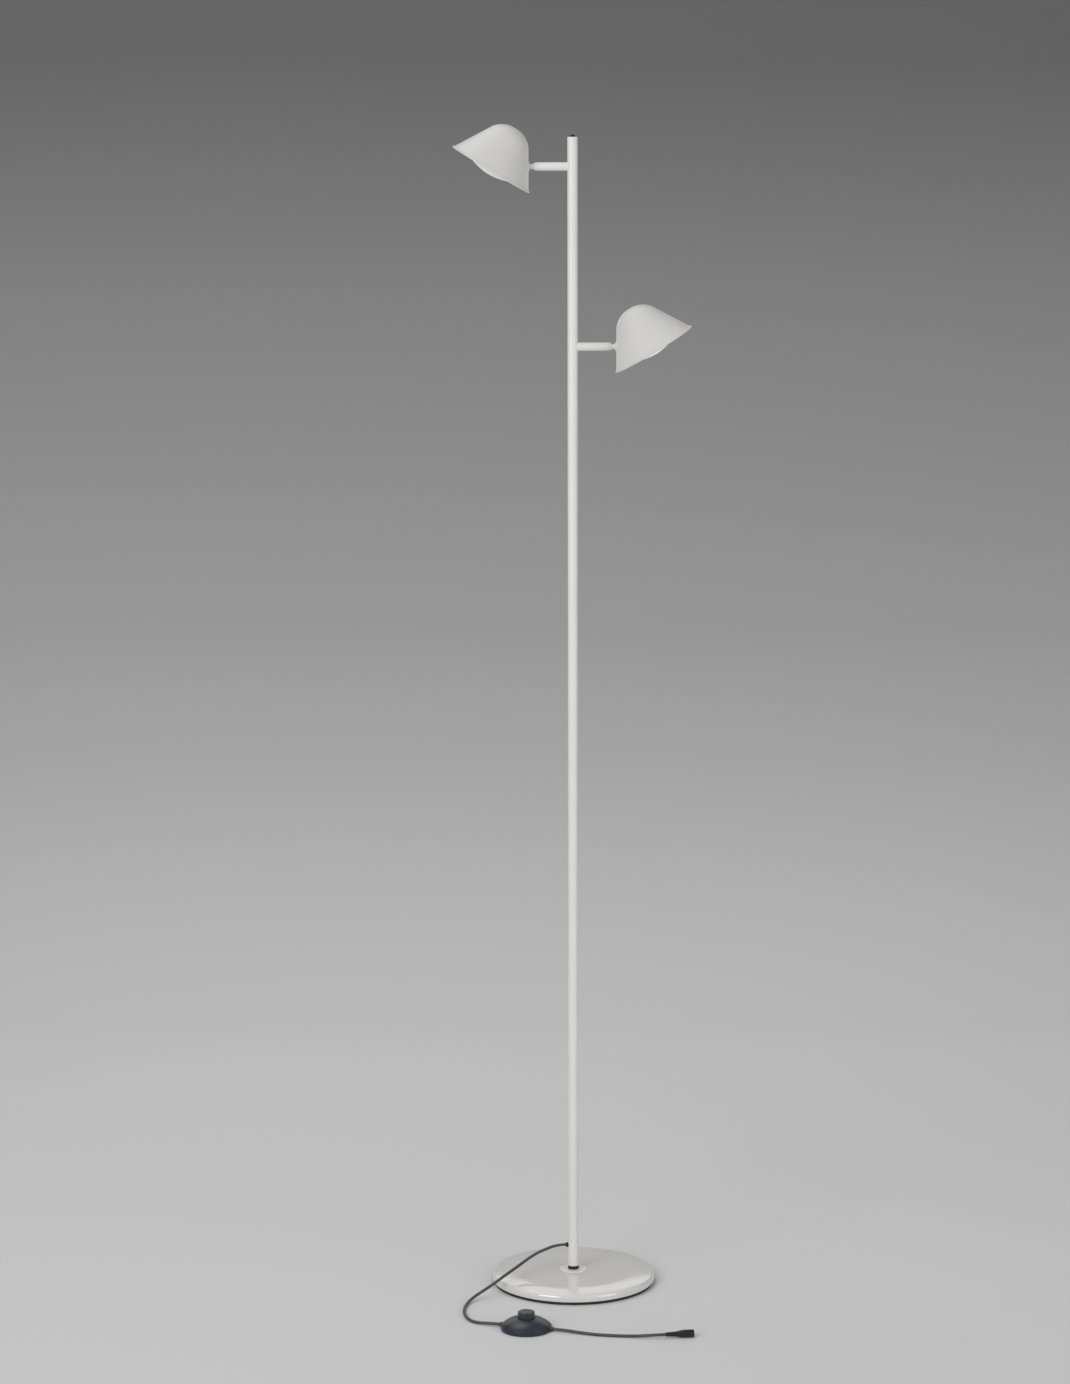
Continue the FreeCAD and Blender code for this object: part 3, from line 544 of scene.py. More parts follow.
def turned(spots: Sequence[Spot], closed: bool = True, steps: int = 64) -> Mesh:
    """Shape turned about the z axis.

    Args:
        spots: the outline; an open one runs from the axis to the axis.
        closed: whether the outline is a ring.
        steps: facets round the axis.

    Returns:
        The closed shape as a bmesh, in millimetres.
    """
    mesh = outline(spots, closed)
    bmesh.ops.spin(
        mesh, geom=list(mesh.verts) + list(mesh.edges), cent=ORIGIN, axis=(0, 0, 1), dvec=ORIGIN,
        angle=math.tau, steps=steps, use_merge=True, use_normal_flip=False, use_duplicate=False)
    bmesh.ops.remove_doubles(mesh, verts=list(mesh.verts), dist=1e-4)
    bmesh.ops.recalc_face_normals(mesh, faces=list(mesh.faces))
    return mesh


def moved(mesh: Mesh, matrix: Matrix) -> Mesh:
    """The same bmesh after a transform."""
    bmesh.ops.transform(mesh, matrix=matrix, verts=list(mesh.verts))
    return mesh


def gathered(meshes: Iterable[Mesh]) -> Mesh:
    """Several bmeshes as one."""
    whole = bmesh.new()
    for mesh in meshes:
        data = bpy.data.meshes.new("gathering")
        mesh.to_mesh(data)
        mesh.free()
        whole.from_mesh(data)
        bpy.data.meshes.remove(data)
    return whole


def turn(angle: float, axis: str) -> Matrix:
    """Turn by an angle in degrees about x, y or z."""
    return Matrix.Rotation(math.radians(angle), 4, axis.upper())


def shift(x: float = 0.0, y: float = 0.0, z: float = 0.0) -> Matrix:
    """Move by a distance in millimetres."""
    return Matrix.Translation((x, y, z))


@dataclass(frozen=True)
class PanScrew:
    """Low domed screw head with a six-sided socket."""

    head: float
    height: float
    socket: float
    depth: float
    wall_share: float = 0.62
    crown_share: float = 0.78

    @staticmethod
    def raised(
            mesh: Mesh, edges: Sequence[bmesh.types.BMEdge], rise: float,
            spread: float = 1.0) -> list[bmesh.types.BMEdge]:
        """Extrude a loop of edges up or down, scale it, and return its new edges."""
        made = bmesh.ops.extrude_edge_only(mesh, edges=edges)["geom"]
        verts = [item for item in made if isinstance(item, bmesh.types.BMVert)]
        bmesh.ops.translate(mesh, verts=verts, vec=(0, 0, rise))
        bmesh.ops.scale(mesh, verts=verts, vec=(spread, spread, 1.0))
        return [item for item in made if isinstance(item, bmesh.types.BMEdge)]

    def shape(self) -> Mesh:
        """The head as a closed bmesh in millimetres, its seat at z = 0 and its top up."""
        mesh = bmesh.new()
        wall = bmesh.ops.create_circle(mesh, cap_ends=False, radius=self.head, segments=36)["verts"]
        side = self.raised(mesh, list(mesh.edges), self.height * self.wall_share)
        rim = self.raised(mesh, side, self.height * (1.0 - self.wall_share), self.crown_share)
        mouth = bmesh.ops.create_circle(mesh, cap_ends=False, radius=self.socket, segments=6)["verts"]
        bmesh.ops.translate(mesh, verts=mouth, vec=(0, 0, self.height))
        mouth_edges = [edge for edge in mesh.edges if all(vert in mouth for vert in edge.verts)]
        bmesh.ops.bridge_loops(mesh, edges=rim + mouth_edges)
        bmesh.ops.contextual_create(mesh, geom=self.raised(mesh, mouth_edges, -self.depth))
        seat = [edge for edge in mesh.edges if all(vert in wall for vert in edge.verts)]
        bmesh.ops.contextual_create(mesh, geom=seat)
        bmesh.ops.recalc_face_normals(mesh, faces=list(mesh.faces))
        return mesh

    def ring(self, circle: float, level: float, first: float = 0.0) -> Mesh:
        """Three of these heads that hang down from a level, evenly spread on a circle."""
        angles = [math.radians(first + 120.0 * index) for index in range(3)]
        spots = [(circle * math.cos(angle), circle * math.sin(angle), level) for angle in angles]
        return gathered(moved(self.shape(), shift(*spot) @ turn(180.0, "x")) for spot in spots)


def as_object(name: str, mesh: Mesh, material: bpy.types.Material) -> Piece:
    """Scene object of a bmesh in metres, which is freed."""
    data = bpy.data.meshes.new(name)
    mesh.to_mesh(data)
    mesh.free()
    data.materials.append(material)
    made = bpy.data.objects.new(name, data)
    bpy.context.scene.collection.objects.link(made)
    return made


@dataclass
class Assembly:
    """A group of pieces that are built together and ride on one body."""

    body: Body = Body.LAMP
    place: Matrix = field(default_factory=Matrix)

    def piece(
            self, name: str, mesh: Mesh, finish: Finish, *nodes: str, body: Body | None = None,
            sharp: float = 32.0) -> Piece:
        """Turn a bmesh in millimetres into a finished piece on a body.

        Args:
            name: the piece's name.
            mesh: its shape in the assembly's own frame; it is freed.
            finish: what it is made of.
            nodes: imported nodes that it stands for.
            body: the body it rides on, the assembly's own when left out.
            sharp: angle in degrees past which an edge stays sharp.

        Returns:
            The finished object.
        """
        scale = Matrix.Scale(MM, 4)
        bmesh.ops.transform(mesh, matrix=scale @ self.place, verts=list(mesh.verts))
        made = as_object(name, mesh, finish.material())
        faces = made.data.polygons
        faces.foreach_set("use_smooth", [True] * len(faces))
        made.data.set_sharp_from_angle(angle=math.radians(sharp))
        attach(made, (body or self.body).value)
        if nodes:
            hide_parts(*nodes)
        LOG.info("%s: %d faces for %s", name, len(faces), ", ".join(nodes) or "no node")
        return made


# ---- cord ----


@dataclass
class CordRun:
    """One free length of the round cord, laid along its route."""

    name: str
    node: str
    route: Sequence[Rgb]
    length: float
    far_end: str
    radius: float = 1.8

    def lay(self) -> Piece:
        """The cord as one smooth spline, led by its route's control points."""
        curve = bpy.data.curves.new(self.name, "CURVE")
        curve.dimensions = "3D"
        curve.bevel_depth = self.radius * MM
        curve.bevel_resolution = 6
        curve.resolution_u = 24
        curve.use_fill_caps = True
        spline = curve.splines.new("NURBS")
        spline.points.add(len(self.route) - 1)
        for spot, (x, y, z) in zip(spline.points, self.route):
            spot.co = (x * MM, y * MM, z * MM, 1.0)
        spline.order_u = 3
        spline.use_endpoint_u = True
        curve.materials.append(CORD_JACKET.material())
        made = bpy.data.objects.new(self.name, curve)
        bpy.context.scene.collection.objects.link(made)
        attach(made, Body.LAMP.value)
        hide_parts(self.node)
        return made

    def declare(self, cord: Piece, pieces: Sequence[Piece]) -> None:
        """Log the cord's length."""
        LOG.info("%s: %.0f mm long", self.name, self.length)


# ---- lamp ----


@dataclass
class Base(Assembly):
    """Weighted round base: painted cover, rubber floor ring and the screws under it."""

    radius: float = 100.0
    bottom: float = 4.0
    top: float = 14.8
    wall: float = 1.2
    edge: float = 5.0
    shoulder_start: float = 72.0
    shoulder_lean: float = 7.5
    bore: float = 4.3
    bore_lip: float = 1.0
    flat_start: float = 8.0
    ring_outer: float = 98.0
    ring_width: float = 14.0
    ring_height: float = 4.6
    grooves: int = 3
    groove_start: float = 3.0
    groove_pitch: float = 3.6
    groove_width: float = 1.0
    groove_depth: float = 0.9
    groove_slant: float = 0.2
    screw_circle: float = 60.0
    screw: PanScrew = PanScrew(head=4.0, height=2.2, socket=1.9, depth=1.3)

    def build(self) -> None:
        """Build the cover, the ring and the screws."""
        self.build_cover()
        self.build_ring()
        self.build_screws()

    def build_cover(self) -> None:
        """Pressed cover: flat top, falling shoulder and rounded edge, open underneath."""
        lean = math.radians(self.shoulder_lean)
        edge_start = self.radius - self.edge * (1.0 - math.sin(lean))
        bend = (edge_start - self.shoulder_start) / math.sin(lean)
        knee = self.shoulder_start + bend * math.tan(lean / 2.0)
        inner, under = self.radius - self.wall, self.top - self.wall
        inner_knee = knee - self.wall * math.tan(lean / 2.0)
        fall = math.tan(lean)
        mesh = turned([
            (self.bore + self.bore_lip, self.top), (self.bore, self.top, *FINE), (self.bore, under),
            (inner_knee, under, bend - self.wall, 8),
            (inner, under - (inner - inner_knee) * fall, self.edge - self.wall, 6),
            (inner, self.bottom), (self.radius, self.bottom, *EASE),
            (self.radius, self.top - (self.radius - knee) * fall, self.edge * APART, 12),
            (knee, self.top, bend * APART, 14), (self.bore + self.flat_start, self.top)], steps=224)
        self.piece("base_cover_pressed", mesh, GLOSS_WHITE, "base_cover")

    def build_ring(self) -> None:
        """Rubber floor ring with grip grooves in its underside."""
        inner = self.ring_outer - self.ring_width
        spots = [(inner, self.ring_height), (inner, 0.0, 0.6, 3)]
        for index in range(self.grooves):
            start = inner + self.groove_start + index * self.groove_pitch
            end = start + self.groove_width
            spots += [(start, 0.0, *FINE), (start + self.groove_slant, self.groove_depth, *FINE),
                      (end - self.groove_slant, self.groove_depth, *FINE), (end, 0.0, *FINE)]
        spots += [(self.ring_outer, 0.0, 0.6, 3), (self.ring_outer, self.ring_height)]
        self.piece("base_floor_ring", turned(spots, steps=160), BLACK_RUBBER, "rubber_ring")

    def build_screws(self) -> None:
        """Three socket screws under the bottom plate."""
        heads = self.screw.ring(self.screw_circle, self.ring_height)
        self.piece("base_plate_screw_heads", heads, ZINC_STEEL, "base_plate_screws")


@dataclass
class Pole(Assembly):
    """Pole with the flange, gasket and sleeve at its foot and the cap and screw on top."""

    radius: float = 6.0
    foot: float = 20.0
    top: float = 1400.0
    cap: float = 1.2
    base_top: float = 14.8
    flange_radius: float = 17.0
    flange_top: float = 15.6
    gasket_radius: float = 6.6
    wall: float = 1.0
    rod: float = 4.0
    sleeve_foot_radius: float = 7.0
    sleeve_top_radius: float = 6.35
    sleeve_top: float = 50.0
    sleeve_sunk: float = 0.2
    plug: float = 7.0
    screw_hole: float = 1.5
    screw: PanScrew = PanScrew(head=2.7, height=2.6, socket=1.3, depth=1.4)
    grommet_level: float = 45.8
    grommet_start: float = 4.6
    grommet_reach: float = 9.5
    grommet_stem: float = 2.4
    grommet_flange: float = 3.0
    flange_span: Spot = (6.8, 8.4)
    cord: float = 1.8

    def build(self) -> None:
        """Build the foot fittings, the capped tube and the grommet."""
        self.build_foot()
        self.build_tube()
        self.build_grommet()

    def build_foot(self) -> None:
        """Flange on the base, black gasket on it, and the sleeve that stiffens the pole's foot."""
        self.piece("foot_flange", turned([
            (self.rod, self.base_top), (self.flange_radius, self.base_top, *FINE),
            (self.flange_radius, self.flange_top, 0.4, 5), (self.rod, self.flange_top)], steps=96),
            SATIN_WHITE, "foot_collar")
        self.piece("foot_gasket_ring", turned([
            (self.rod, self.flange_top), (self.gasket_radius, self.flange_top, 0.5, 4),
            (self.gasket_radius, self.foot, 0.5, 4), (self.rod, self.foot)]),
            BLACK_RUBBER, "foot_gasket")
        inner = self.radius - self.sleeve_sunk
        self.piece("foot_sleeve_turned", turned([
            (inner, self.foot), (self.sleeve_foot_radius, self.foot, 0.25, 3),
            (self.sleeve_top_radius, self.sleeve_top, 0.25, 4), (inner, self.sleeve_top)]),
            SATIN_WHITE, "foot_sleeve")

    def build_tube(self) -> None:
        """The long drawn tube, its cap disc with eased edges and the black screw in it."""
        seam, bore = self.top - self.cap, self.radius - self.wall
        self.piece("pole_drawn", turned([
            (bore, self.foot), (self.radius, self.foot), (self.radius, seam, 0.12, 2), (bore, seam)]),
            SATIN_WHITE, "pole_tube")
        self.piece("pole_cap_disc", turned([
            (self.screw_hole, seam - self.plug), (bore, seam - self.plug), (bore, seam),
            (self.radius, seam, 0.12, 2), (self.radius, self.top, *SOFT), (self.screw_hole, self.top)]),
            SATIN_WHITE, "pole_cap")
        head = moved(self.screw.shape(), shift(z=self.top))
        self.piece("cap_screw_head", head, BLACK_STEEL, "cap_screw")

    def build_grommet(self) -> None:
        """Rubber grommet with a rounded lip where the cord leaves the pole."""
        start, end = self.flange_span
        mesh = turned([
            (self.cord, self.grommet_start), (self.grommet_stem, self.grommet_start),
            (self.grommet_stem, start), (self.grommet_flange, start, *FINE),
            (self.grommet_flange, end, 0.5, 4), (self.grommet_stem, self.grommet_reach, 0.4, 3),
            (self.cord, self.grommet_reach)], steps=40)
        self.piece("cord_grommet_lip", moved(mesh, shift(z=self.grommet_level) @ turn(-90.0, "y")),
                   BLACK_RUBBER, "cord_grommet")


@dataclass
class Arm(Assembly):
    """Fixed arm on the pole with the necked pin that its head turns on."""

    name: str = "upper"
    level: float = 1365.3
    heading: float = 0.0
    radius: float = 5.0
    wall: float = 1.0
    start: float = 4.4
    reach: float = 43.5
    spigot: float = 12.0
    pin_bore: float = 1.3
    taper: float = 4.2
    neck: float = 3.0
    neck_end: float = 50.4
    journal: float = 2.5
    pin_end: float = 62.5

    def build(self) -> None:
        """Build the arm's tube and its pin, which point away from the pole."""
        self.place = shift(z=self.level) @ turn(self.heading, "z") @ turn(-90.0, "y")
        bore = self.radius - self.wall
        self.piece(self.name + "_arm_tube", turned([
            (bore, self.start), (self.radius, self.start), (self.radius, self.reach, 0.1, 2),
            (bore, self.reach)], steps=48),
            SATIN_WHITE, self.name + "_arm")
        self.piece(self.name + "_necked_pin", turned([
            (self.pin_bore, self.reach - self.spigot), (bore, self.reach - self.spigot), (bore, self.reach),
            (self.radius, self.reach, 0.1, 2), (self.neck, self.reach + self.taper, 0.6, 4),
            (self.neck, self.neck_end), (self.journal, self.neck_end),
            (self.journal, self.pin_end, *FINE), (self.pin_bore, self.pin_end)], steps=48),
            SATIN_WHITE, self.name + "_neck_pin")


@dataclass
class Head(Assembly):
    """Conical shade with its swivel boss, baffle, screws, lens and lens ring."""

    name: str = "upper"
    level: float = 1365.3
    side: int = 1
    reach: float = 52.0
    drop: float = 70.0
    half_angle: float = 31.2
    rim: float = 51.8
    crown_drop: float = 29.5
    crown: float = 26.0
    wall: float = 1.2
    bead: float = 1.25
    bead_inset: float = 0.3
    bead_share: float = 0.98
    roll_start: float = 1.7
    boss: float = 6.5
    boss_stem: float = 4.6
    boss_bore: float = 2.55
    boss_proud: float = 1.0
    boss_depth: float = 3.0
    sink_depth: float = 11.5
    sink: float = 4.0
    baffle: float = 1.0
    baffle_gap: float = 0.3
    baffle_hole_gap: float = 2.3
    lens_radius: float = 28.0
    lens_dome: float = 70.0
    lens_proud: float = 6.5
    lens_flange: float = 2.0
    lens_ring_span: Spot = (0.1, 3.5)
    lens_ring_height: float = 4.0
    lens_roughness: float = 0.32
    lens_colour: Rgb = (0.80, 0.84, 0.88)
    lens_tint: Rgb = (0.90, 0.96, 1.0)
    screw_circle: float = 35.0
    screw: PanScrew = PanScrew(head=2.6, height=1.5, socket=1.2, depth=0.9)

    def build(self) -> None:
        """Place the head's frame at the apex of its cone and build its pieces."""
        heading = 0.0 if self.side > 0 else 180.0
        apex = shift(-self.side * self.reach, 0.0, self.level + self.drop)
        self.place = apex @ turn(heading, "z") @ turn(self.half_angle, "y")
        self.slope = math.tan(math.radians(self.half_angle))
        self.lean_cosine = math.cos(math.radians(self.half_angle))
        self.lean_sine = math.sin(math.radians(self.half_angle))
        self.rim_depth = self.rim / self.slope
        self.baffle_face = self.rim_depth - self.sink_depth + self.sink + self.baffle
        self.build_shade()
        self.build_boss()
        self.build_baffle()
        self.build_lens()

    def wall_radius(self, depth: float) -> float:
        """Radius of the shade's inner wall at a depth below the apex."""
        return depth * self.slope - self.wall / self.lean_cosine

    def build_shade(self) -> None:
        """Spun shade: flattened crown, straight wall and a rolled rim."""
        top, inner_top = self.crown_drop, self.crown_drop + self.wall
        inner_crown = self.crown - self.wall
        low = self.rim_depth + self.bead
        outer, inner = self.rim - self.bead_inset + self.bead, self.rim - self.bead_inset - self.bead
        start = self.rim_depth - self.roll_start
        mesh = turned([
            (0.0, -top), (top * self.slope, -top, self.crown * CLOSE, 28),
            (start * self.slope, -start, 0.8, 3), (outer, -self.rim_depth + 1.0, 0.9, 4),
            (outer, -low, self.bead * self.bead_share, 7), (inner, -low, self.bead * self.bead_share, 7),
            (inner, -self.rim_depth + 0.5, *EASE), (self.wall_radius(start), -start),
            (self.wall_radius(inner_top), -inner_top, inner_crown * CLOSE, 20),
            (0.0, -inner_top)], closed=False, steps=144)
        # The shade takes the darker copy of the satin white: painted shade.
        self.piece(self.name + "_shade_spun", mesh, LAMPSHADE_WHITE_PAINTED_SHADE, self.name + "_shade", sharp=40.0)

    def build_boss(self) -> None:
        """Boss that carries the pin, set square into the upright side of the shade."""
        where = shift(self.drop * self.lean_sine, 0.0, -self.drop * self.lean_cosine)
        mesh = turned([
            (self.boss_bore, -self.boss_proud), (self.boss_stem, -self.boss_proud, *SOFT),
            (self.boss, 0.2, 0.6, 4), (self.boss, self.boss_depth),
            (self.boss_bore, self.boss_depth)], steps=56)
        upright = where @ turn(-(self.half_angle + 90.0), "y")
        self.piece(self.name + "_swivel_boss_turned", moved(mesh, upright), SATIN_WHITE,
                   self.name + "_swivel_boss")

    def build_baffle(self) -> None:
        """Baffle plate with eased edges, and the heads of the screws that hold it."""
        face, back = self.baffle_face, self.baffle_face - self.baffle
        outer = self.wall_radius(back) - self.baffle_gap
        hole = self.lens_radius + self.baffle_hole_gap
        mesh = turned([
            (hole, -back), (hole, -face, *FINE), (outer, -face, *EASE), (outer, -back)], steps=120)
        self.piece(self.name + "_baffle_plate_cut", mesh, WHITE_PAINT, self.name + "_baffle_plate")
        heads = self.screw.ring(self.screw_circle, -face, first=30.0)
        self.piece(self.name + "_baffle_screw_heads", heads, ZINC_STEEL)

    def build_lens(self) -> None:
        """Domed opal lens and the ring that holds it to the baffle."""
        face = self.baffle_face
        low = self.rim_depth + self.lens_proud
        swing = math.asin(self.lens_radius / self.lens_dome)
        rise = self.lens_dome * (1.0 - math.cos(swing))
        flange, seat = self.lens_radius + self.lens_flange, self.baffle - face
        mesh = turned([
            (0.0, -low), (self.lens_dome * math.tan(swing / 2.0), -low, self.lens_dome * CLOSE, 18),
            (self.lens_radius, -low + rise, 0.5, 3), (self.lens_radius, -face),
            (flange, -face), (flange, seat), (0.0, seat)], closed=False, steps=120)
        opal = FrostedLens(
            self.name + "_opal_lens", Slot.FROSTED_LENS, self.lens_colour, self.lens_roughness,
            centre=tuple(self.place.translation * MM), lean=-math.radians(self.half_angle) * self.side,
            tint=self.lens_tint)
        self.piece(self.name + "_lens_dome", mesh, opal, self.name + "_lens")
        inner, outer = (self.lens_radius + out for out in self.lens_ring_span)
        end = -face - self.lens_ring_height
        ring = turned([
            (inner, -face), (outer, -face), (outer, end, 0.8, 5), (inner, end, 0.8, 5)], steps=120)
        self.piece(self.name + "_lens_ring_turned", ring, SATIN_WHITE, self.name + "_lens_ring")


@dataclass
class OnCord(Assembly):
    """Something on the floor in line with the cord: where it lies and the height of its axis."""

    across: float = 0.0
    ahead: float = 0.0
    heading: float = 0.0
    axis: float = 0.0

    def spot(self, along: float) -> Rgb:
        """Point on the cord's axis, at a distance from the origin of the assembly."""
        angle = math.radians(self.heading)
        return (self.across + along * math.cos(angle), self.ahead + along * math.sin(angle), self.axis)


@dataclass
class FootSwitch(OnCord):
    """Round foot switch in line with the cord."""

    across: float = -56.0
    ahead: float = -188.0
    heading: float = -16.0
    axis: float = 3.1
    radius: float = 30.5
    base_height: float = 3.5
    side_height: float = 1.6
    dome_top: float = 14.6
    button: float = 10.2
    button_top: float = 22.0
    button_bore: float = 6.4
    button_round: Spot = (1.3, 7)
    dish: float = 0.5
    gland: float = 2.8
    gland_tip: float = 2.2
    gland_reach: float = 33.5
    gland_length: float = 8.0
    shadow_gap: Spot = (1.0, 0.4)
    dome_bend: Spot = (22.5, 11.4, 30.0, 14)
    cover_wall: float = 1.8
    clearance: float = 0.3

    def build(self) -> list[Piece]:
        """Build the base, the cover and the button, and return all the switch's shown pieces."""
        self.place = shift(self.across, self.ahead) @ turn(self.heading, "z")
        return [self.build_base(), self.build_cover(), self.build_button()]

    def build_base(self) -> Piece:
        """Base disc with a shadow gap under the cover and a stub for the cord on each side."""
        width, depth = self.shadow_gap
        disc = turned([
            (0.0, 0.0), (self.radius, 0.0, 0.9, 5), (self.radius, self.base_height, 0.35, 3),
            (self.radius - width, self.base_height), (self.radius - width, self.base_height - depth),
            (0.0, self.base_height - depth)], closed=False, steps=120)
        root = self.gland_reach - self.gland_length
        stubs = []
        for sign in (1.0, -1.0):
            stub = turned([
                (0.0, root), (self.gland, root), (self.gland, self.gland_reach - 1.6, 0.3, 2),
                (self.gland_tip, self.gland_reach, *EASE), (0.0, self.gland_reach)], closed=False, steps=36)
            stubs.append(moved(stub, shift(z=self.axis) @ turn(90.0 * sign, "y")))
        return self.piece("switch_base_moulded", gathered([disc, *stubs]), SWITCH_PLASTIC, "switch_base")

    def build_cover(self) -> Piece:
        """Low dome with a raised collar round the button."""
        side = self.base_height + self.side_height
        rim, foot = self.radius - 0.4, self.base_height + 0.1
        collar, hole = self.button + 1.9, self.button + self.clearance
        inner, under = rim - self.cover_wall, self.dome_top - self.cover_wall
        mesh = turned([
            (inner, foot), (rim, foot, *EASE), (rim, side, 0.8, 4), self.dome_bend,
            (collar + 0.5, self.dome_top, 0.4, 3), (hole, self.dome_top, *EASE), (hole, under),
            (collar - 0.6, under), (inner, side - 0.4)], steps=120)
        return self.piece("switch_cover_moulded", mesh, SWITCH_PLASTIC, "switch_cover")

    def build_button(self) -> Piece:
        """Push button with an eased edge and a slightly dished top."""
        flange_top = self.dome_top - 2.1
        flange, foot, roof = self.button + 1.8, flange_top - 1.4, self.button_top - 4.4
        mesh = turned([
            (self.button_bore, foot), (flange, foot), (flange, flange_top), (self.button, flange_top),
            (self.button - 0.25, self.button_top, *self.button_round), (0.0, self.button_top - self.dish),
            (0.0, roof), (self.button_bore, roof)], closed=False, steps=88)
        return self.piece(
            "switch_button_moulded", mesh, BUTTON_PLASTIC, "switch_button", body=Body.FOOT_BUTTON)


@dataclass
class Connector(OnCord):
    """Inline low-voltage connector on the cord's end."""

    across: float = 108.6
    ahead: float = -221.3
    heading: float = 8.5
    axis: float = 4.7
    radius: float = 4.6
    length: float = 33.8
    cord: float = 1.8
    relief: float = 2.5
    relief_end: float = 3.2
    relief_length: float = 13.0
    relief_growth: float = 0.7
    body_start: float = 20.0
    ribs: int = 4
    rib_start: float = 2.4
    rib_pitch: float = 2.6
    socket: float = 2.8
    socket_depth: float = 9.0

    def build(self) -> list[Piece]:
        """Build the moulded body with its tapered relief and its socket."""
        self.place = shift(*self.spot(0.0)) @ turn(self.heading, "z") @ turn(90.0, "y")
        spots = [(self.cord, 0.0), (self.relief, 0.0, *EASE)]
        for index in range(self.ribs):
            along = self.rib_start + index * self.rib_pitch
            width = self.relief + along * self.relief_growth / self.relief_length
            spots += [(width, along, 0.15, 2), (width - 0.45, along + 0.25, 0.15, 2),
                      (width - 0.4, along + 1.0, 0.15, 2), (width + 0.1, along + 1.25, 0.15, 2)]
        floor = self.length - self.socket_depth
        spots += [
            (self.relief_end, self.relief_length, 1.0, 4), (self.radius, self.body_start, 5.0, 7),
            (self.radius, self.length, 0.7, 5), (self.socket, self.length, 0.4, 3), (self.socket, floor),
            (0.0, floor), (0.0, 0.5), (self.cord, 0.5)]
        mesh = turned(spots, steps=56)
        return [self.piece("connector_moulded", mesh, CONNECTOR_PLASTIC, "connector_body")]


# ---- studio ----


@dataclass(frozen=True)
class SoftLamp:
    """Rectangular lamp: its place, target and sides in metres and its power in watts."""

    name: str
    spot: Rgb
    target: Rgb
    width: float
    height: float
    power: float

    def hang(self) -> None:
        """Add the lamp to the scene, hidden from the camera."""
        data = bpy.data.lights.new(self.name, "AREA")
        data.shape = "RECTANGLE"
        data.size, data.size_y, data.energy = self.width, self.height, self.power
        made = bpy.data.objects.new(self.name, data)
        made.location = self.spot
        aim = Vector(self.target) - Vector(self.spot)
        made.rotation_euler = aim.to_track_quat("-Z", "Y").to_euler()
        made.visible_camera = False
        bpy.context.scene.collection.objects.link(made)


@dataclass(frozen=True)
class Viewpoint:
    """Camera ahead of the lamp, level with its top and looking slightly down; angles in degrees."""

    spot: Rgb = (0.0, -4.4, 1.4094)
    yaw: float = -0.5969
    pitch: float = 8.6898
    roll: float = -0.1402
    lens: float = 95.84
    sensor: float = 36.0
    farthest: float = 60.0

    def build(self) -> None:
        """Create the camera and make it the scene's."""
        data = bpy.data.cameras.new("camera")
        data.sensor_fit = "VERTICAL"
        data.sensor_height = self.sensor
        data.lens = self.lens
        data.clip_end = self.farthest
        made = bpy.data.objects.new("camera", data)
        yaw, pitch, roll = (math.radians(angle) for angle in (self.yaw, self.pitch, self.roll))
        ahead = math.cos(pitch)
        forward = Vector((math.sin(yaw) * ahead, math.cos(yaw) * ahead, -math.sin(pitch)))
        level = Vector((math.cos(yaw), -math.sin(yaw), 0.0))
        upright = level.cross(forward)
        right = math.cos(roll) * level + math.sin(roll) * upright
        up = math.cos(roll) * upright - math.sin(roll) * level
        axes = Matrix((right, up, -forward)).transposed()
        made.matrix_world = Matrix.Translation(self.spot) @ axes.to_4x4()
        bpy.context.scene.collection.objects.link(made)
        bpy.context.scene.camera = made


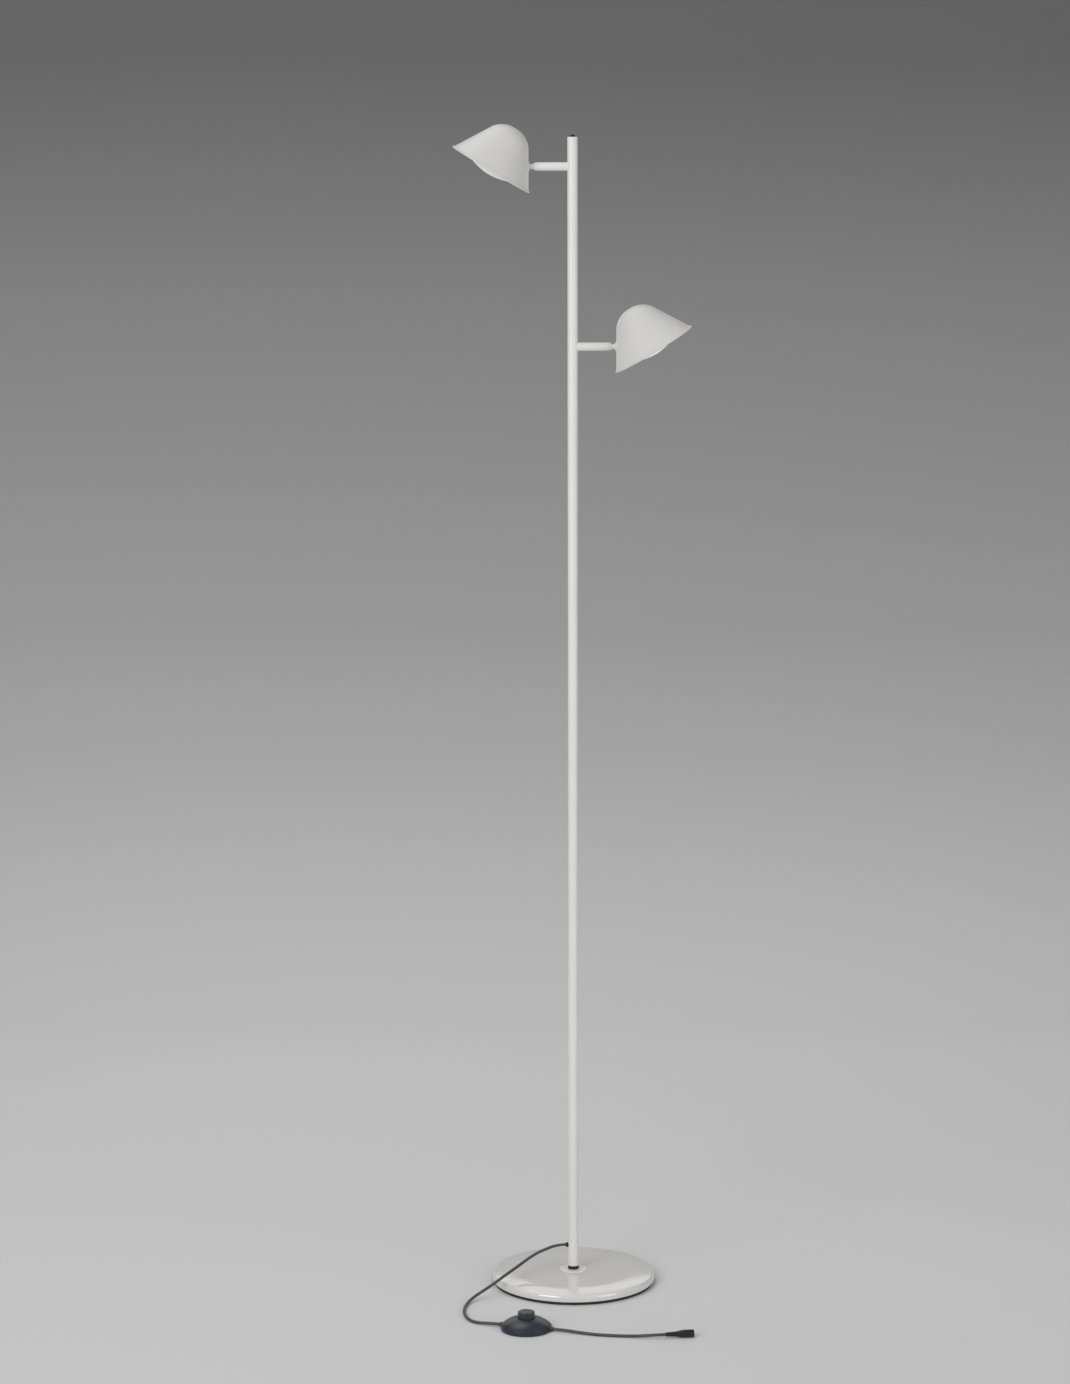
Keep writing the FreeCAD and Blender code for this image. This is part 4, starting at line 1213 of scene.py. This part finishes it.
@dataclass
class Studio:
    """Pale floor that rolls up into a grey backdrop, soft lamps and the camera; sizes in metres."""

    front: float = -9.0
    back: float = 2.6
    sweep: float = 1.3
    sweep_steps: int = 96
    height: float = 4.5
    half_width: float = 7.0
    run: float = 5.0
    # Paper tones along the sheet, pale on the floor and darker up the wall: painted shade for the light's
    # falloff.
    painted_shade_tones: tuple[tuple[float, float], ...] = (
        (0.0, 0.677), (0.35, 0.654), (1.15, 0.614), (1.9, 0.493), (2.44, 0.41), (2.9, 0.389), (3.3, 0.327),
        (3.7, 0.268), (3.97, 0.206), (4.14, 0.164), (4.6, 0.147))
    lamps: tuple[SoftLamp, ...] = (
        SoftLamp("key", (-2.5, -3.4, 2.4), (0.0, 0.0, 0.8), 2.4, 2.4, 90.0),
        SoftLamp("fill", (3.1, -2.6, 1.5), (0.0, 0.0, 0.8), 1.8, 2.4, 38.0),
        SoftLamp("overhead", (-0.9, 1.0, 3.2), ORIGIN, 1.8, 1.8, 16.0),
        SoftLamp("back_card", (0.0, 1.8, 1.26), ORIGIN, 3.0, 1.1, 8.3))
    air: float = 0.44

    def build(self) -> None:
        """Build the backdrop, the lamps, the world and the camera."""
        self.build_backdrop()
        for lamp in self.lamps:
            lamp.hang()
        self.build_world()
        Viewpoint().build()

    def build_backdrop(self) -> None:
        """One smooth sheet: floor, sweep and wall, whose colour darkens up the wall as painted shade."""
        mesh = bmesh.new()
        profile = ((0, self.front, 0), (0, self.back, 0), (0, self.back, self.height))
        start, corner, end = (mesh.verts.new(spot) for spot in profile)
        mesh.edges.new((start, corner))
        mesh.edges.new((corner, end))
        round_off(mesh, corner, self.sweep, self.sweep_steps)
        half = bmesh.ops.extrude_edge_only(mesh, edges=list(mesh.edges))["geom"]
        far = [item for item in half if isinstance(item, bmesh.types.BMVert)]
        near = [vert for vert in mesh.verts if vert not in far]
        bmesh.ops.translate(mesh, verts=far, vec=(self.half_width, 0, 0))
        bmesh.ops.translate(mesh, verts=near, vec=(-self.half_width, 0, 0))
        bmesh.ops.recalc_face_normals(mesh, faces=list(mesh.faces))
        if sum(face.normal.z for face in mesh.faces) < 0.0:
            bmesh.ops.reverse_faces(mesh, faces=list(mesh.faces))
        made = as_object("backdrop", mesh, self.paper())

    def paper(self) -> bpy.types.Material:
        """Matt paper, clear from behind, whose colour follows the way along the floor and up the wall,
        darkening as painted shade.
        """
        shader = Shader("backdrop_paper")
        _, ahead, up = shader.parts(shader.place())
        along = (ahead + up) / self.run
        stops = [(spot / self.run, (tone,) * 3) for spot, tone in self.painted_shade_tones]
        tone = shader.node("ValToRGB", {"stops": stops}, {0: along})
        shader.surface_is(Base_Color=tone, Roughness=0.9, Specular_IOR_Level=0.1)
        shader.clear_from_behind()
        return shader.material

    def build_world(self) -> None:
        """Even white air, shown without a film look."""
        world = bpy.data.worlds.new("studio_air")
        world.use_nodes = True
        background = world.node_tree.nodes["Background"]
        background.inputs["Color"].default_value = (1.0, 1.0, 1.0, 1.0)
        background.inputs["Strength"].default_value = self.air
        bpy.context.scene.world = world
        bpy.context.scene.view_settings.view_transform = "Standard"


# ---- whole lamp ----


def dress_nodes() -> None:
    """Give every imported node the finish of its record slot."""
    finishes = {finish.slot.value: finish for finish in PLAIN_FINISHES}
    for part in frame["record"]["subparts"]:
        finish = finishes.get(part["material_slot"])
        if finish is None:
            continue
        for slot in frame["nodes"][part["node"]].material_slots:
            slot.material = finish.material()


def lay_cords(switch: FootSwitch, connector: Connector) -> list[tuple[CordRun, Piece]]:
    """Lay the cord's run to the switch and its run to the connector, and return each with its object."""
    reach = switch.gland_reach
    to_switch = CordRun("cord_pole_to_switch", "cord_to_switch", [
        (-9.5, 0.0, 45.8), (-21.0, 0.0, 45.2), (-34.5, -3.0, 40.8), (-48.0, -11.0, 36.8),
        (-61.5, -25.5, 31.2), (-74.0, -43.0, 27.0), (-86.0, -57.0, 22.6), (-98.0, -67.0, 16.2),
        (-109.0, -71.5, 10.2), (-119.5, -79.5, 5.4), (-127.5, -93.0, 2.6), (-132.0, -115.0, 1.9),
        (-131.0, -140.0, 1.95), (-124.5, -161.0, 1.9), (-114.0, -171.5, 2.3), switch.spot(-reach - 15.0),
        switch.spot(-reach)],
        273.4, "fitting")
    to_connector = CordRun("cord_switch_to_connector", "cord_to_connector", [
        switch.spot(reach), switch.spot(reach + 15.0), (8.0, -207.5, 2.2), (30.0, -214.5, 1.9),
        (52.0, -218.0, 1.95), (75.0, -220.0, 2.3), connector.spot(-15.0), connector.spot(0.0)],
        135.9, "connector")
    return [(run, run.lay()) for run in (to_switch, to_connector)]


def main() -> None:
    """Build the studio, the cords and every assembly of the lamp."""
    logging.basicConfig(level=logging.INFO, format="%(name)s %(message)s")
    Studio().build()
    dress_nodes()
    switch, connector = FootSwitch(), Connector()
    cords = lay_cords(switch, connector)
    Base().build()
    Pole().build()
    Arm(name="upper", level=1365.3, heading=0.0).build()
    Arm(name="lower", level=1152.8, heading=180.0).build()
    # The upper lens is the same lens as the lower one, given a darker, warmer colour and a weaker glow:
    # painted shade.
    Head(body=Body.UPPER_HEAD, name="upper", level=1365.3, side=1, lens_colour=(0.74, 0.73, 0.70),
         lens_tint=(0.66, 0.64, 0.58)).build()
    Head(body=Body.LOWER_HEAD, name="lower", level=1152.8, side=-1).build()
    inner = ("button_spring", "switch_contacts", "switch_screws")
    switch_pieces = switch.build() + [frame["nodes"][name] for name in inner]
    connector_pieces = connector.build() + [frame["nodes"]["connector_contact"]]
    for (run, cord), pieces in zip(cords, (switch_pieces, connector_pieces)):
        run.declare(cord, pieces)


if __name__ == "__main__":
    main()
